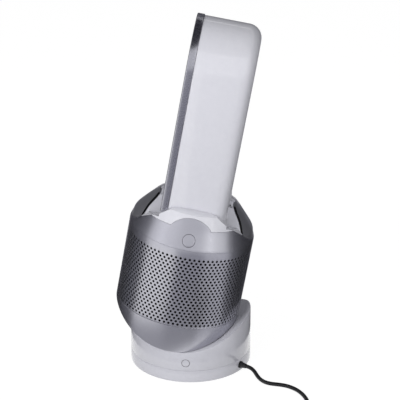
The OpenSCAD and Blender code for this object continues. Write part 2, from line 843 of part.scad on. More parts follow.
// One face of the sleeve; turned makes the inner face look inwards
function facing(face, turned) = turned ? [for (i = [len(face) - 1:-1:0]) face[i]] : face;
function web_faces(s) = [for (j = [0:hole_rows - 1]) for (i = [0:hole_n - 1])
  let (u = up_right(i, j), top = j == hole_rows - 1, shift = j % 2)
  each concat(
    [[hole_id(s, i, j, 1), hole_id(s, i + 1, j, 5), hole_id(s, i + 1, j, 4), hole_id(s, i, j, 2)]],
    top ? [
      [rim_id(s, 1, 2 * i + shift), rim_id(s, 1, 2 * i + shift + 1), hole_id(s, i, j, 1), hole_id(s, i, j, 0)],
      [rim_id(s, 1, 2 * i + shift + 1), hole_id(s, i + 1, j, 5), hole_id(s, i, j, 1)],
      [rim_id(s, 1, 2 * i + shift + 1), rim_id(s, 1, 2 * i + shift + 2), hole_id(s, i + 1, j, 0), hole_id(s, i + 1, j, 5)]
    ] : [
      [hole_id(s, u, j + 1, 4), hole_id(s, u, j + 1, 3), hole_id(s, i, j, 1), hole_id(s, i, j, 0)],
      [hole_id(s, u - 1, j + 1, 3), hole_id(s, u - 1, j + 1, 2), hole_id(s, i, j, 0), hole_id(s, i, j, 5)],
      [hole_id(s, u - 1, j + 1, 2), hole_id(s, u, j + 1, 4), hole_id(s, i, j, 0)],
      [hole_id(s, u, j + 1, 3), hole_id(s, i + 1, j, 5), hole_id(s, i, j, 1)]
    ],
    j > 0 ? [] : [
      [hole_id(s, i, j, 3), hole_id(s, i, j, 2), rim_id(s, 0, 2 * i + 1), rim_id(s, 0, 2 * i)],
      [hole_id(s, i, j, 2), hole_id(s, i + 1, j, 4), rim_id(s, 0, 2 * i + 1)],
      [hole_id(s, i + 1, j, 4), hole_id(s, i + 1, j, 3), rim_id(s, 0, 2 * i + 2), rim_id(s, 0, 2 * i + 1)]
    ])];

module sleeve() {
  r_in = drum_r - sleeve_wall;
  corners = concat(
    [for (s = [0, 1]) for (j = [0:hole_rows - 1]) for (i = [0:hole_n - 1]) for (k = [0:5])
      hole_corner_at(s == 0 ? drum_r : r_in, i, j, k)],
    [for (s = [0, 1]) for (t = [0, 1]) for (m = [0:2 * hole_n - 1])
      ring_at(s == 0 ? drum_r : r_in, m * 180 / hole_n, t == 0 ? bowl_z + seam_gap : collar_z - seam_gap)]);
  hole_walls = [for (j = [0:hole_rows - 1]) for (i = [0:hole_n - 1]) for (k = [0:5]) let (n = (k + 1) % 6)
    [hole_id(1, i, j, k), hole_id(0, i, j, k), hole_id(0, i, j, n), hole_id(1, i, j, n)]];
  rims = [for (m = [0:2 * hole_n - 1]) each [
    [rim_id(1, 1, m), rim_id(1, 1, m + 1), rim_id(0, 1, m + 1), rim_id(0, 1, m)],
    [rim_id(0, 0, m), rim_id(0, 0, m + 1), rim_id(1, 0, m + 1), rim_id(1, 0, m)]]];
  color("darkgray")
  leaning()
  polyhedron(points = corners, faces = concat([for (f = web_faces(0)) facing(f, false)],
    [for (f = web_faces(1)) facing(f, true)], hole_walls, rims), convexity = 20);
}

// Fan

// Radius of the impeller's hub at a share of its height
function hub_at(share) = hub_nose_r + (hub_tail_r - hub_nose_r) * pow(sin(90 * share), 1.2);
function tip_at(share) = throat_r - tip_gap + (bucket_r - bucket_wall - throat_r) * pow(share, 2);

module impeller() {
  h = impeller_z1 - impeller_z0;
  color("black")
  leaning()
  translate([0, 0, impeller_z0])
  difference() {
    union() {
      rotate_extrude() polygon(concat([[0, 0]], [for (i = [0:8]) [hub_at(i / 8), h * i / 8]], [[0, h]]));
      intersection() {
        for (b = [0:blades - 1]) rotate([0, 0, b * 360 / blades]) linear_extrude(h) blade_outline();
        rotate_extrude() polygon(concat([[hub_nose_r / 2, 0]], [for (i = [0:8]) [tip_at(i / 8), h * i / 8]],
          [[hub_tail_r - blade_t, h]]));
      }
    }
    translate([0, 0, -over]) cylinder(r = shaft_r + run_fit, h = h + 2 * over);
  }
}

// A blade seen along the shaft: a strip of even thickness that sweeps back as it goes out
module blade_outline() {
  n = 8;
  r0 = hub_nose_r;
  r1 = bucket_r;
  line = [for (i = [0:n]) let (r = r0 + (r1 - r0) * i / n) r * [cos(blade_sweep_angle * i / n), sin(blade_sweep_angle * i / n)]];
  polygon(concat(line, [for (i = [n:-1:0]) line[i] + blade_t * unit([-line[i][1], line[i][0]])]));
}

module fan_shaft() {
  color("silver")
  leaning() translate([0, 0, impeller_z0 + soft_fit]) cylinder(r = shaft_r, h = motor_z1 - deck_t - impeller_z0);
}

module fan_motor() {
  color("silver")
  leaning()
  difference() {
    rotate_extrude() polygon(concat([[0, motor_z0], [motor_r - deck_t, motor_z0], [motor_r, motor_z0 + deck_t]],
      arc(motor_r / 2, motor_z1 - motor_r / 2, motor_r / 2, 0, 90, 8), [[0, motor_z1]]));
    translate([0, 0, motor_z0 - over]) cylinder(r = shaft_r + run_fit, h = motor_z1 - motor_z0);
  }
}

module motor_bucket() {
  color("gainsboro")
  leaning()
  union() {
    ring(bucket_r - bucket_wall, bucket_r, bucket_z0 + bucket_wall + over, bucket_top);
    ring(bucket_r - bucket_wall, bucket_flange_r, bucket_top - bucket_wall, bucket_top);
  }
}

module diffuser() {
  r1 = bucket_r - bucket_wall - run_fit;
  color("gray")
  leaning()
  union() {
    ring(motor_r + run_fit, motor_r + vane_hub_t, vane_z0 + deck_t, vane_z1);
    ring(r1 - vane_t, r1, vane_z0, vane_z1);
    intersection() {
      ring(motor_r + vane_hub_t / 2, r1 - vane_t / 2, vane_z0 + deck_t, vane_z1);
      for (i = [0:vane_count - 1]) rotate([0, 0, i * 360 / vane_count])
        translate([motor_r, 0, (vane_z0 + vane_z1) / 2]) rotate([vane_angle, 0, 0])
          translate([0, -vane_t / 2, -vane_z1]) cube([bucket_r, vane_t, 2 * vane_z1]);
    }
  }
}

module bucket_mount() {
  color("black")
  leaning() ring(bucket_r + cage_wall, bucket_flange_r, bucket_top, cage_top - cage_ring_t);
}

// Collar and shields

module cone_body(inset = 0) {
  rotate_extrude($fn = 180) polygon(concat([[0, collar_z]], sized(cone_shares, inset), [[0, collar_z + dome_h - inset]]));
}

module dome_body(inset = 0) {
  rotate_extrude($fn = 180) polygon(concat([[0, collar_z]], sized(dome_shares, inset), [[0, collar_z + dome_h - inset]]));
}

// Everything below the shoulder that the top of the neck and the rim of the collar follow
module shoulder_outline() {
  side = sized(shoulder_shares);
  polygon(concat([[-drum_d, collar_z - over], [drum_d, collar_z - over]], side, flipped(side)));
}

// The collar seen from the side: a level edge with a round lobe over each release button
module collar_outline(grow = 0) {
  intersection() {
    shoulder_outline();
    union() {
      translate([-drum_d, collar_z - over]) square([2 * drum_d, edge_z + grow + over - collar_z]);
      translate([0, lobe_z]) circle(r = lobe_r + grow, $fn = 120);
    }
  }
}

// The ridge over the neck seen from the front: two slopes with a round top
module roof_outline(grow = 0) {
  wide = roof_peak - collar_z + over;
  polygon(concat([[-wide - grow, collar_z - over], [wide + grow, collar_z - over]],
    arc(0, roof_peak - roof_round * sqrt(2), roof_round + grow, 45, 135, 10)));
}

module collar() {
  color("darkgray")
  leaning()
  difference() {
    intersection() {
      cone_body();
      along_x(drum_d + 2 * over) collar_outline();
    }
    cone_body(drum_wall);
    for (s = [-1, 1]) translate([s * drum_r, 0, button_z]) rotate([0, 90, 0]) cylinder(r = button_r, h = 4 * button_r, center = true);
  }
}

// A shield: the outer skin of one end of the ridge
module shield(s) {
  color("darkgray")
  leaning()
  difference() {
    intersection() {
      dome_body();
      along_y(s < 0 ? -drum_d : shield_end, s < 0 ? -shield_end : drum_d) roof_outline();
    }
    dome_body(shield_t);
    along_x(drum_d + 2 * over) translate([0, seam_gap]) shoulder_outline();
    if (s < 0) {
      translate([0, -drum_r, power_z]) rotate([90, 0, 0]) cylinder(r = power_r, h = 4 * power_r, center = true);
      lens_place() translate([0, 0, -4 * lens_t]) cylinder(r = lens_r + run_fit, h = 8 * lens_t);
    }
  }
}

module front_shield() {
  shield(-1);
}

module rear_shield() {
  shield(1);
}

// Buttons and display

module release_button(s) {
  color("darkgray")
  leaning()
  translate([0, 0, button_z]) mirror([s < 0 ? 1 : 0, 0, 0])
  intersection() {
    union() {
      translate([button_in, 0, 0]) rotate([0, 90, 0]) cylinder(r = button_r - slide_fit, h = drum_r);
      translate([button_in, 0, 0]) rotate([0, 90, 0]) cylinder(r = button_flange_r, h = button_flange_t);
    }
    translate([0, 0, -button_z]) cone_body();
  }
}

module release_button_left() {
  release_button(-1);
}

module release_button_right() {
  release_button(1);
}

module release_spring(s) {
  color("silver")
  leaning() translate([0, 0, button_z]) mirror([s < 0 ? 1 : 0, 0, 0]) coil_spring(button_well, button_in, spring_r, spring_turns);
}

module release_spring_left() {
  release_spring(-1);
}

module release_spring_right() {
  release_spring(1);
}

module lens_place() {
  translate([0, -lens_y, lens_z]) rotate([lens_angle, 0, 0]) children();
}

module display_lens() {
  color("black")
  leaning() lens_place() translate([0, 0, -lens_t]) cylinder(r = lens_r, h = lens_t);
}

module display_board() {
  color("darkgreen")
  leaning() lens_place() translate([0, 0, -3 * lens_t]) cylinder(r = lens_r, h = 2 * lens_t - soft_fit);
}

module power_button() {
  color("darkgray")
  leaning()
  translate([0, 0, power_z])
  intersection() {
    union() {
      translate([0, -power_in, 0]) rotate([90, 0, 0]) cylinder(r = power_r - slide_fit, h = drum_r);
      translate([0, -power_in, 0]) rotate([90, 0, 0]) cylinder(r = power_flange_r, h = button_flange_t);
    }
    translate([0, 0, -power_z]) dome_body();
  }
}

module power_spring() {
  color("silver")
  leaning() translate([0, 0, power_z]) rotate([0, 0, -90]) coil_spring(power_in - spring_room, power_in, power_spring_r, spring_turns);
}

// Neck

// A leg of the loop with its inside filled, for the sockets that the legs stand in
module leg_room(grow) {
  linear_extrude(loop_top) offset_leg(grow);
}

module offset_leg(grow) {
  x1 = loop_half + grow;
  polygon(concat(
    [[lip_x - grow, lip_y - grow], [lip_x - grow, loop_rear - lip_round]],
    arc(lip_x + lip_round, loop_rear - lip_round, lip_round + grow, 180, 90, 5),
    arc(loop_half - rear_r, loop_rear - rear_r, rear_r + grow, 90, 0, 10),
    [[x1, band_y - grow], [band_in - grow, band_y - grow], [band_in - grow, lip_y - grow]]));
}

// The block between the legs, under the loop's mouth
module apron_form(inset = 0) {
  wide = band_in - soft_fit - inset;
  narrow = lip_x - soft_fit - inset;
  union() {
    along_y(band_y + inset, lip_y - soft_fit - inset) translate([-wide, plenum_top])
      square([2 * wide, mouth_z - plenum_top]);
    along_y(band_y + inset, apron_rear - inset) translate([-narrow, plenum_top])
      square([2 * narrow, mouth_z - plenum_top]);
  }
}

// The room that the loop's inner wall takes under the mouth, in front of and behind the slot
module mouth_cut(grow = 0) {
  front = band_in + loop_wall + soft_fit + grow;
  rear = wall_rear + loop_wall + soft_fit + grow;
  translate([0, 0, mouth_z]) rotate([-90, 0, 0]) rotate_extrude()
    polygon([[0, -drum_r], [front, -drum_r], [front, band_y], [rear + soft_fit, wall_end + soft_fit], [rear, drum_r], [0, drum_r]]);
}

// The air room over the impeller, which the ducts and legs open from
module plenum() {
  union() {
    translate([0, 0, neck_z0 - over]) cylinder(r = plenum_r, h = plenum_top + over - neck_z0);
    difference() {
      intersection() {
        union() {
          neck_form(neck_wall);
          apron_form(neck_wall);
        }
        translate([0, 0, plenum_top - over]) cylinder(r = plenum_r, h = mouth_z - plenum_top);
      }
      mouth_cut(neck_wall);
      for (s = [-1, 1]) mirror([s < 0 ? 1 : 0, 0, 0]) leg_block();
    }
  }
}

// The block that holds a leg's socket
module leg_block() {
  translate([lip_x - neck_wall, band_y - neck_wall, foot_z - neck_wall])
    cube([leg_w + 2 * neck_wall, loop_rear - band_y + 2 * neck_wall, loop_top - foot_z]);
}

// What the neck's outer form takes up, drawn in by an inset
module neck_form(inset) {
  union() {
    intersection() {
      cone_body(drum_wall + soft_fit + inset);
      along_x(drum_d + 2 * over) translate([0, -inset]) shoulder_outline();
    }
    difference() {
      intersection() {
        cone_body(inset);
        along_x(drum_d + 2 * over) translate([0, -inset]) shoulder_outline();
      }
      along_x(drum_d + 2 * over) collar_outline(seam_gap + inset);
    }
    intersection() {
      dome_body(shield_t + soft_fit + inset);
      along_y(inset - drum_r, drum_r - inset) roof_outline(-seam_gap - inset);
    }
  }
}

// The room inside the neck between its outer skin and its air ways
module neck_room() {
  difference() {
    neck_form(neck_wall);
    cylinder(r = plenum_r + neck_wall, h = foot_z + mouth_z);
    for (s = [-1, 1]) mirror([s < 0 ? 1 : 0, 0, 0]) {
      translate([duct_x0, duct_y0 - neck_wall, 0])
        cube([loop_half - duct_x0, duct_y1 - duct_y0 + 2 * neck_wall, foot_z]);
      translate([button_well - neck_wall, 0, button_z]) rotate([0, 90, 0])
        cylinder(r = button_flange_r + slide_fit + neck_wall, h = drum_r);
      leg_block();
    }
    translate([0, -power_in + spring_room + neck_wall, power_z]) rotate([90, 0, 0])
      cylinder(r = power_flange_r + slide_fit + neck_wall, h = drum_r);
    lens_place() translate([0, 0, -3 * lens_t - neck_wall]) cylinder(r = lens_r + soft_fit + neck_wall, h = 8 * lens_t);
  }
}

module neck() {
  color("white")
  leaning()
  difference() {
    union() {
      difference() {
        intersection() {
          neck_form(0);
          translate([0, 0, neck_z0]) cylinder(r = drum_d, h = dome_h);
        }
        intersection() {
          neck_room();
          translate([0, 0, neck_z0 + neck_wall]) cylinder(r = drum_d, h = dome_h);
        }
      }
      apron_form();
    }
    plenum();
    mouth_cut();
    for (s = [-1, 1]) mirror([s < 0 ? 1 : 0, 0, 0]) {
      translate([0, 0, foot_z]) leg_room(soft_fit);
      translate([band_in - soft_fit, -loop_front - soft_fit, band_foot - soft_fit])
        cube([band_half - band_in + 2 * soft_fit, band_depth + 2 * soft_fit, loop_top - band_foot]);
      translate([duct_x0, duct_y0, neck_z0 + deck_t])
        cube([loop_half - 2 * loop_wall - duct_x0, duct_y1 - duct_y0, plenum_top - neck_z0 - deck_t]);
      translate([band_in, duct_y0, neck_z0 + deck_t])
        cube([loop_half - 2 * loop_wall - band_in, duct_y1 - duct_y0, foot_z]);
      translate([button_well, 0, button_z]) rotate([0, 90, 0])
        cylinder(r = button_flange_r + slide_fit, h = drum_r);
    }
    translate([0, -power_in + spring_room, power_z]) rotate([90, 0, 0])
      cylinder(r = power_flange_r + slide_fit, h = drum_r);
    lens_place() translate([0, 0, -3 * lens_t]) cylinder(r = lens_r + soft_fit, h = 8 * lens_t);
  }
}

// Loop

// Sweeps a section, drawn as distance from the middle and depth, round the loop
module loop_sweep(z0) {
  union() {
    for (s = [-1, 1]) mirror([s < 0 ? 1 : 0, 0, 0])
      translate([0, 0, z0]) linear_extrude(arch_z - z0) children();
    translate([0, 0, arch_z]) rotate([-90, 0, 0]) rotate([0, 0, 180])
      rotate_extrude(angle = 180, $fn = 180) children();
  }
}

module shell_section() {
  inner = loop_half - loop_wall;
  polygon(concat(
    [[loop_half, band_y + seam_gap]],
    arc(loop_half - rear_r, loop_rear - rear_r, rear_r, 0, 90, 10),
    arc(lip_x + lip_round, loop_rear - lip_round, lip_round, 90, 180, 5),
    [[lip_x, lip_y], [lip_x + loop_wall / 2, lip_y], [lip_x + loop_wall, lip_y + loop_wall]],
    arc(lip_x + lip_round, loop_rear - lip_round, lip_round - loop_wall, 180, 90, 4),
    arc(loop_half - rear_r, loop_rear - rear_r, rear_r - loop_wall, 90, 0, 10),
    [[inner, band_y + seam_gap]]));
}

// Distance from the middle to the inner wall's open side, at depth y
function wall_at(y) = wall_rear + (band_in - wall_rear) * pow((wall_end - y) / (wall_end - band_y - seam_gap), 2);

module inner_section(y1 = wall_end) {
  y0 = band_y + seam_gap;
  steps = [for (i = [0:wall_steps]) y0 + (y1 - y0) * i / wall_steps];
  polygon(concat([for (y = steps) [wall_at(y), y]], [for (i = [wall_steps:-1:0]) [wall_at(steps[i]) + loop_wall, steps[i]]]));
}

module band_section() {
  front = -loop_front;
  polygon(concat(
    [[band_half, band_y]], [[band_half - loop_wall, band_y]],
    [[band_half - loop_wall, front + loop_wall], [band_in + loop_wall, front + loop_wall]],
    [[band_in + loop_wall, band_y], [band_in, band_y]],
    arc(band_in + edge_round, front + edge_round, edge_round, 180, 270, 4),
    arc(band_half - edge_round, front + edge_round, edge_round, 270, 360, 4)));
}

module loop_shell() {
  color("white")
  leaning() loop_sweep(foot_z) shell_section();
}

module loop_inner() {
  color("white")
  leaning()
  union() {
    loop_sweep(mouth_z) inner_section();
    translate([0, 0, mouth_z]) rotate([-90, 0, 0])
      rotate_extrude(angle = 180, $fn = 180) inner_section(lip_y - soft_fit);
  }
}

module loop_band() {
  color("slategray")
  leaning() loop_sweep(band_foot) band_section();
}

// A heater stack: a frame of two rails with fins across it
module heater(s) {
  pitch = heater_h / heater_fins;
  x1 = loop_half - loop_wall - soft_fit;
  color("silver")
  leaning()
  mirror([s < 0 ? 1 : 0, 0, 0])
  along_y(duct_y1 - heater_d, duct_y1)
  difference() {
    translate([x1 - heater_t, heater_z0]) square([heater_t, heater_h + fin_t]);
    for (i = [0:heater_fins - 1]) translate([x1 - heater_t + fin_t, heater_z0 + fin_t + i * pitch])
      square([heater_t - 2 * fin_t, pitch - fin_t]);
  }
}

module heater_left() {
  heater(-1);
}

module heater_right() {
  heater(1);
}

module duct_gasket() {
  color("black")
  leaning() ring(bucket_r + cage_wall, cage_r, cage_top, neck_z0);
}

// Cord

module cord_gland() {
  color("black")
  on_base() outlet_place() rotate_extrude() polygon([[0, -gland_in], [gland_r, -gland_in], [gland_r, 0],
    [flange_r, 0], [flange_r, flange_t], [gland_r - flange_t / 2, flange_t], [tip_r, relief_len], [0, relief_len]]);
}

module cord_stretch() {
  color("black")
  tube(route, cord_r, 8);
}

// The coil: it winds in on the lower layer, climbs where the winding reverses and winds out again
function coil_in(t) = min(t, coil_spin - t);
function coil_climb(t) = let (s = min(max((t - coil_turns) * 2, 0), 1)) s * s * (3 - 2 * s);
function coil_point(t) = let (r = coil_r - coil_pitch * coil_in(t), a = 90 - 360 * t)
  [coil_at[0] + r * cos(a), coil_at[1] + r * sin(a), coil_z + coil_pitch * coil_climb(t)];
function coil_way(t) = unit(coil_point(t + 0.001) - coil_point(t - 0.001));
coil_count = round(coil_spin * coil_rings);
coil_start_way = [1, 0, 0];
coil_end_way = unit([coil_way(coil_spin)[0], coil_way(coil_spin)[1], 0]);
coil_path = concat([coil_point(0) - cord_d * coil_start_way],
  [for (i = [0:coil_count]) coil_point(i / coil_rings)], [coil_point(coil_spin) + cord_d * coil_end_way]);
// The least gap of the coil to itself, over every pair of its points more than half a turn apart
coil_least = min([for (i = [0:len(coil_path) - 1]) for (j = [0:len(coil_path) - 1]) if (j > i + coil_rings / 2)
  norm(coil_path[i] - coil_path[j])]) - cord_d;
echo("least gap of the coil to itself, mm", coil_least);
function length_of(p) = [for (i = [1:len(p) - 1]) norm(p[i] - p[i - 1])] * [for (i = [1:len(p) - 1]) 1];
echo("length of the cord outside the relief, mm", length_of(route) + length_of(coil_path));

module cord_coil() {
  color("black")
  tube(coil_path, cord_r, 6);
}

module coil_tie() {
  r_in = coil_r - coil_pitch * (coil_turns + 0.25) - cord_r - soft_fit;
  r_out = coil_r + cord_r + soft_fit;
  high = coil_z + coil_pitch + cord_r + soft_fit;
  color("black")
  translate([coil_at[0], coil_at[1], 0]) rotate([0, 0, 180])
  translate([0, tie_w / 2, 0]) rotate([90, 0, 0]) linear_extrude(tie_w)
  difference() {
    translate([r_in - tie_t, 0]) square([r_out - r_in + 2 * tie_t, high + tie_t]);
    translate([r_in, tie_t]) square([r_out - r_in, high - tie_t]);
  }
}

// Places a child at the coil's end, with +X along the cord
module coil_end_place() {
  end = coil_path[len(coil_path) - 1];
  translate(end) rotate([0, 0, atan2(coil_end_way[1], coil_end_way[0])]) children();
}

module plug() {
  thick = 2 * (coil_z + coil_pitch);
  color("black")
  coil_end_place() union() {
    rotate([0, 90, 0]) cylinder(r1 = tip_r, r2 = thick / 3, h = plug_neck);
    translate([plug_neck, 0, 0]) rotate([90, 0, 90]) linear_extrude(plug_len) intersection() {
      square([plug_w, thick], center = true);
      circle(r = plug_w * 0.58);
    }
  }
}

module plug_pins() {
  color("silver")
  coil_end_place() for (s = [-1, 1]) translate([plug_neck + plug_len, s * pin_gap / 2, 0]) rotate([0, 90, 0]) cylinder(r = pin_r, h = pin_len);
}

foot_pad();
base_plate();
base_screws();
base_ring();
swing_post();
swing_wheel();
swing_bearing();
swing_retainer();
cord_gland();
cord_stretch();
cord_coil();
coil_tie();
plug();
plug_pins();
saddle();
saddle_floor();
saddle_screws();
lean_guide_left();
lean_guide_right();
swing_motor();
swing_pinion();
lean_rail_left();
lean_rail_right();
bowl();
power_board();
inlet_cage();
bell_mouth();
filter_media();
filter_base_cap();
filter_top_cap();
filter_seal();
sleeve();
impeller();
fan_shaft();
fan_motor();
motor_bucket();
diffuser();
bucket_mount();
collar();
front_shield();
rear_shield();
release_button_left();
release_button_right();
release_spring_left();
release_spring_right();
display_lens();
display_board();
power_button();
power_spring();
neck();
loop_shell();
loop_inner();
loop_band();
heater_left();
heater_right();
duct_gasket();
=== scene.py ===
# %% [markdown]
# # A tower air purifier with a heated outlet loop
# The machine stands as in its photograph, with the drum leaning back in its saddle and the saddle turned
# on its base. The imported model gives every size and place. This lesson dresses it, first with a camera
# and the mains cord, then with a studio, the finishes and the pieces that need finer detail.

# %% Load the fixed frame
import json
import math

import bmesh
import bpy
from mathutils import Matrix, Vector


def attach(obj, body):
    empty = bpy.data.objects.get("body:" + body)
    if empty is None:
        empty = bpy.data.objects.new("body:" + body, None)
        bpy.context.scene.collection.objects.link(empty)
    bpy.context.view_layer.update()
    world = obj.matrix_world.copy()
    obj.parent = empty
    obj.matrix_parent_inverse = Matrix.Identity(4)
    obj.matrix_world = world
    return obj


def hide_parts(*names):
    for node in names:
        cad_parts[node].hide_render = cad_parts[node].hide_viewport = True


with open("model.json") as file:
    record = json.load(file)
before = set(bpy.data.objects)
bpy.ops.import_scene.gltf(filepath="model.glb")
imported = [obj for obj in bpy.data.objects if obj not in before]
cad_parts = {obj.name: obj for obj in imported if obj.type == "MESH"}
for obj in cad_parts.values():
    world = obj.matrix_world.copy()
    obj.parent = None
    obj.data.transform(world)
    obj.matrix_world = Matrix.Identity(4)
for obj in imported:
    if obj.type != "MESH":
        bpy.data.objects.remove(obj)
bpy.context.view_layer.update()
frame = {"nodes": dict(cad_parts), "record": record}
NODES = frame["nodes"]
MM = 0.001
LEAN = math.radians(10)
LEAN_AXIS = Vector((0, -8.3, 236)) * MM
LEANING = Matrix.Translation(LEAN_AXIS) @ Matrix.Rotation(-LEAN, 4, "X") @ Matrix.Translation(-LEAN_AXIS)

# %% [markdown]
# ## The camera
# The photograph was taken from far away with a long lens, from the machine's own left and a little
# above it. A fit to the rims of the base and the drum gave the place and the focal length.

# %% Camera
CAMERA_AT = Vector((2.9246, 0.2468, 1.5104))
PITCH = math.radians(22.415)
HEADING = math.radians(94.5)
FOCAL_PX, IMAGE_PX, SENSOR_MM = 1840.5, 400, 36
towards = Vector((math.sin(HEADING), -math.cos(HEADING), 0))
look = Vector((-math.cos(PITCH) * towards.x, -math.cos(PITCH) * towards.y, -math.sin(PITCH)))
camera = bpy.data.objects.new("camera", bpy.data.cameras.new("camera"))
camera.location = CAMERA_AT
camera.rotation_euler = look.to_track_quat("-Z", "Y").to_euler()
camera.data.sensor_width = SENSOR_MM
camera.data.lens = FOCAL_PX / IMAGE_PX * SENSOR_MM
camera.data.clip_end = 50
bpy.context.scene.collection.objects.link(camera)
bpy.context.scene.camera = camera
bpy.context.scene.view_settings.view_transform = "Standard"
print("camera", tuple(round(v, 3) for v in camera.location), "lens", round(camera.data.lens, 1))

# %% [markdown]
# ## Helpers for colour and materials
# Colours are written as sRGB hex values, as a paint chart gives them, and one function turns them into
# the linear values that the shaders work in. One more function adds a node with its settings and links.


# %% Colour and nodes
def colour(hex_value):
    parts = [int(hex_value[i:i + 2], 16) / 255 for i in (1, 3, 5)]
    return tuple(c / 12.92 if c <= 0.04045 else ((c + 0.055) / 1.055) ** 2.4 for c in parts) + (1.0,)


def add(tree, kind, settings=(), inputs=()):
    """Adds a node. An input's value is a socket to link from, or a plain value."""
    made = tree.nodes.new(kind)
    for key, value in dict(settings).items():
        setattr(made, key, value)
    for key, value in dict(inputs).items():
        if isinstance(value, bpy.types.NodeSocket):
            tree.links.new(value, made.inputs[key])
        else:
            made.inputs[key].default_value = value
    return made


def new_material(name, base, metallic=0.0, roughness=0.5, **more):
    """A named finish on the Principled shader, with its colour and shine."""
    made = bpy.data.materials.new(name)
    made.use_nodes = True
    shader = made.node_tree.nodes["Principled BSDF"]
    shader.inputs["Base Color"].default_value = colour(base)
    shader.inputs["Metallic"].default_value = metallic
    shader.inputs["Roughness"].default_value = roughness
    for key, value in more.items():
        shader.inputs[key.replace("_", " ")].default_value = value
    made.diffuse_color = colour(base)
    return made, made.node_tree, shader


print("a mid grey is", [round(v, 3) for v in colour("#808080")])

# %% [markdown]
# ## The mains cord
# The real machine has a round black cord of about 1.83 m. It leaves the base through a strain relief,
# falls to the floor, runs out of the picture and lies there in a neat double coil, held by a strap. The
# route's points are the same as in the part's source, and a curve is rounded out from them.

# %% Cord route
CORD_D = 6.8 * MM
ROUTE = [(59, 102.2, 12.6), (61.5, 106.5, 12.5), (65, 111, 12), (69.5, 115, 11.2), (75, 118.5, 10),
         (81, 121.6, 8.5), (87, 125, 6.9), (92.6, 129.4, 5.4), (97.4, 135, 4.2), (101, 142, 3.6),
         (103.3, 150, 3.4), (104.8, 159, 3.4), (106.6, 168, 3.4), (110, 177, 3.4), (115.4, 185.4, 3.4),
         (122.4, 193, 3.4), (131, 199.6, 3.4), (141, 205.2, 3.4), (152, 209.6, 3.4), (164, 212.8, 3.4),
         (177, 214.8, 3.4), (190, 215.9, 3.6), (203, 216.4, 4), (216, 216.5, 4.3), (229, 216.5, 4.5),
         (238, 216.5, 4.5), (245.2, 216.5, 4.5)]
COIL_AT, COIL_R, COIL_PITCH, COIL_Z, COIL_TURNS = (252, 164.5), 52, 7.6, 4.5, 2.875
COIL_SPIN = 2 * COIL_TURNS + 0.5
COIL_STEPS, CORD_TAIL = 48, 6.8


def coil_point(t):
    """A point of the coil after t turns: inwards on the lower layer, then outwards on the upper one."""
    r = COIL_R - COIL_PITCH * min(t, COIL_SPIN - t)
    s = min(max((t - COIL_TURNS) * 2, 0), 1)
    a = math.radians(90 - 360 * t)
    return (COIL_AT[0] + r * math.cos(a), COIL_AT[1] + r * math.sin(a),
            COIL_Z + COIL_PITCH * s * s * (3 - 2 * s))


def rounded(points, steps=5):
    """Points on a smooth line through the given ones."""
    p = [points[0]] + list(points) + [points[-1]]
    out = []
    for a, b, c, d in zip(p, p[1:], p[2:], p[3:]):
        for k in range(steps):
            t = k / steps
            out.append(0.5 * ((2 * b) + (c - a) * t + (2 * a - 5 * b + 4 * c - d) * t * t
                              + (3 * b - a - 3 * c + d) * t ** 3))
    return out + [points[-1]]


coil = [Vector(coil_point(i / COIL_STEPS)) for i in range(int(COIL_SPIN * COIL_STEPS) + 1)]
coil_end = coil[-1] - coil[-2]
coil_end.z = 0
coil_end.normalize()
line = [p * MM for p in rounded([Vector(p) for p in ROUTE]) + coil + [coil[-1] + CORD_TAIL * coil_end]]

# %% [markdown]
# ## The cord as a curve
# A cord is easiest as a curve: the curve keeps the route, and a round bevel gives it its thickness. The
# bevel's depth is one, and every point's radius brings it to the real one.

# %% Cord curve
cord_curve = bpy.data.curves.new("mains_cord", "CURVE")
cord_curve.dimensions = "3D"
cord_curve.bevel_depth = 1
cord_curve.bevel_resolution = 4
cord_curve.use_fill_caps = True
spline = cord_curve.splines.new("POLY")
spline.points.add(len(line) - 1)
for point, place in zip(spline.points, line):
    point.co, point.radius = (*place, 1), CORD_D / 2
spline.use_smooth = True
mains_cord = bpy.data.objects.new("mains_cord", cord_curve)
bpy.context.scene.collection.objects.link(mains_cord)
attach(mains_cord, "base")
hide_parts("cord_stretch", "cord_coil")
print("cord curve with", len(line), "points")

# %% [markdown]
# ## The floor and the world
# The product stands on white. A long lens sees only the floor, so a big pale floor and a white world are
# all the set needs. Both look white to the camera and in reflections. For all other light they are
# duller, so that the pale mouldings don't clip.


# %% Floor and world
FLOOR_HALF, FLOOR_Z = 14, -0.0005


def new_mesh_object(name, bm):
    mesh = bpy.data.meshes.new(name)
    bm.normal_update()
    bm.to_mesh(mesh)
    bm.free()
    made = bpy.data.objects.new(name, mesh)
    bpy.context.scene.collection.objects.link(made)
    return made


floor_bm = bmesh.new()
bmesh.ops.create_grid(floor_bm, x_segments=1, y_segments=1, size=FLOOR_HALF)
bmesh.ops.translate(floor_bm, verts=floor_bm.verts, vec=(0, 0, FLOOR_Z))
floor = new_mesh_object("studio_floor", floor_bm)
floor_mat, tree, shader = new_material("matt_white_studio_paint", "#FFFFFF", roughness=0.9)
rays = add(tree, "ShaderNodeLightPath")
glow = add(tree, "ShaderNodeEmission", inputs={"Color": (1, 1, 1, 1), "Strength": 0.9})
paint = add(tree, "ShaderNodeBsdfDiffuse", inputs={"Color": (0.22, 0.22, 0.22, 1)})
both = add(tree, "ShaderNodeAddShader", inputs={0: glow.outputs[0], 1: paint.outputs[0]})
seen = add(tree, "ShaderNodeMath", {"operation": "MAXIMUM"},
           {0: rays.outputs["Is Camera Ray"], 1: rays.outputs["Is Glossy Ray"]})
seen_too = add(tree, "ShaderNodeMath", {"operation": "MAXIMUM"},
               {0: seen.outputs[0], 1: rays.outputs["Is Transmission Ray"]})
dull = add(tree, "ShaderNodeBsdfDiffuse", inputs={"Color": (0.55, 0.55, 0.56, 1)})
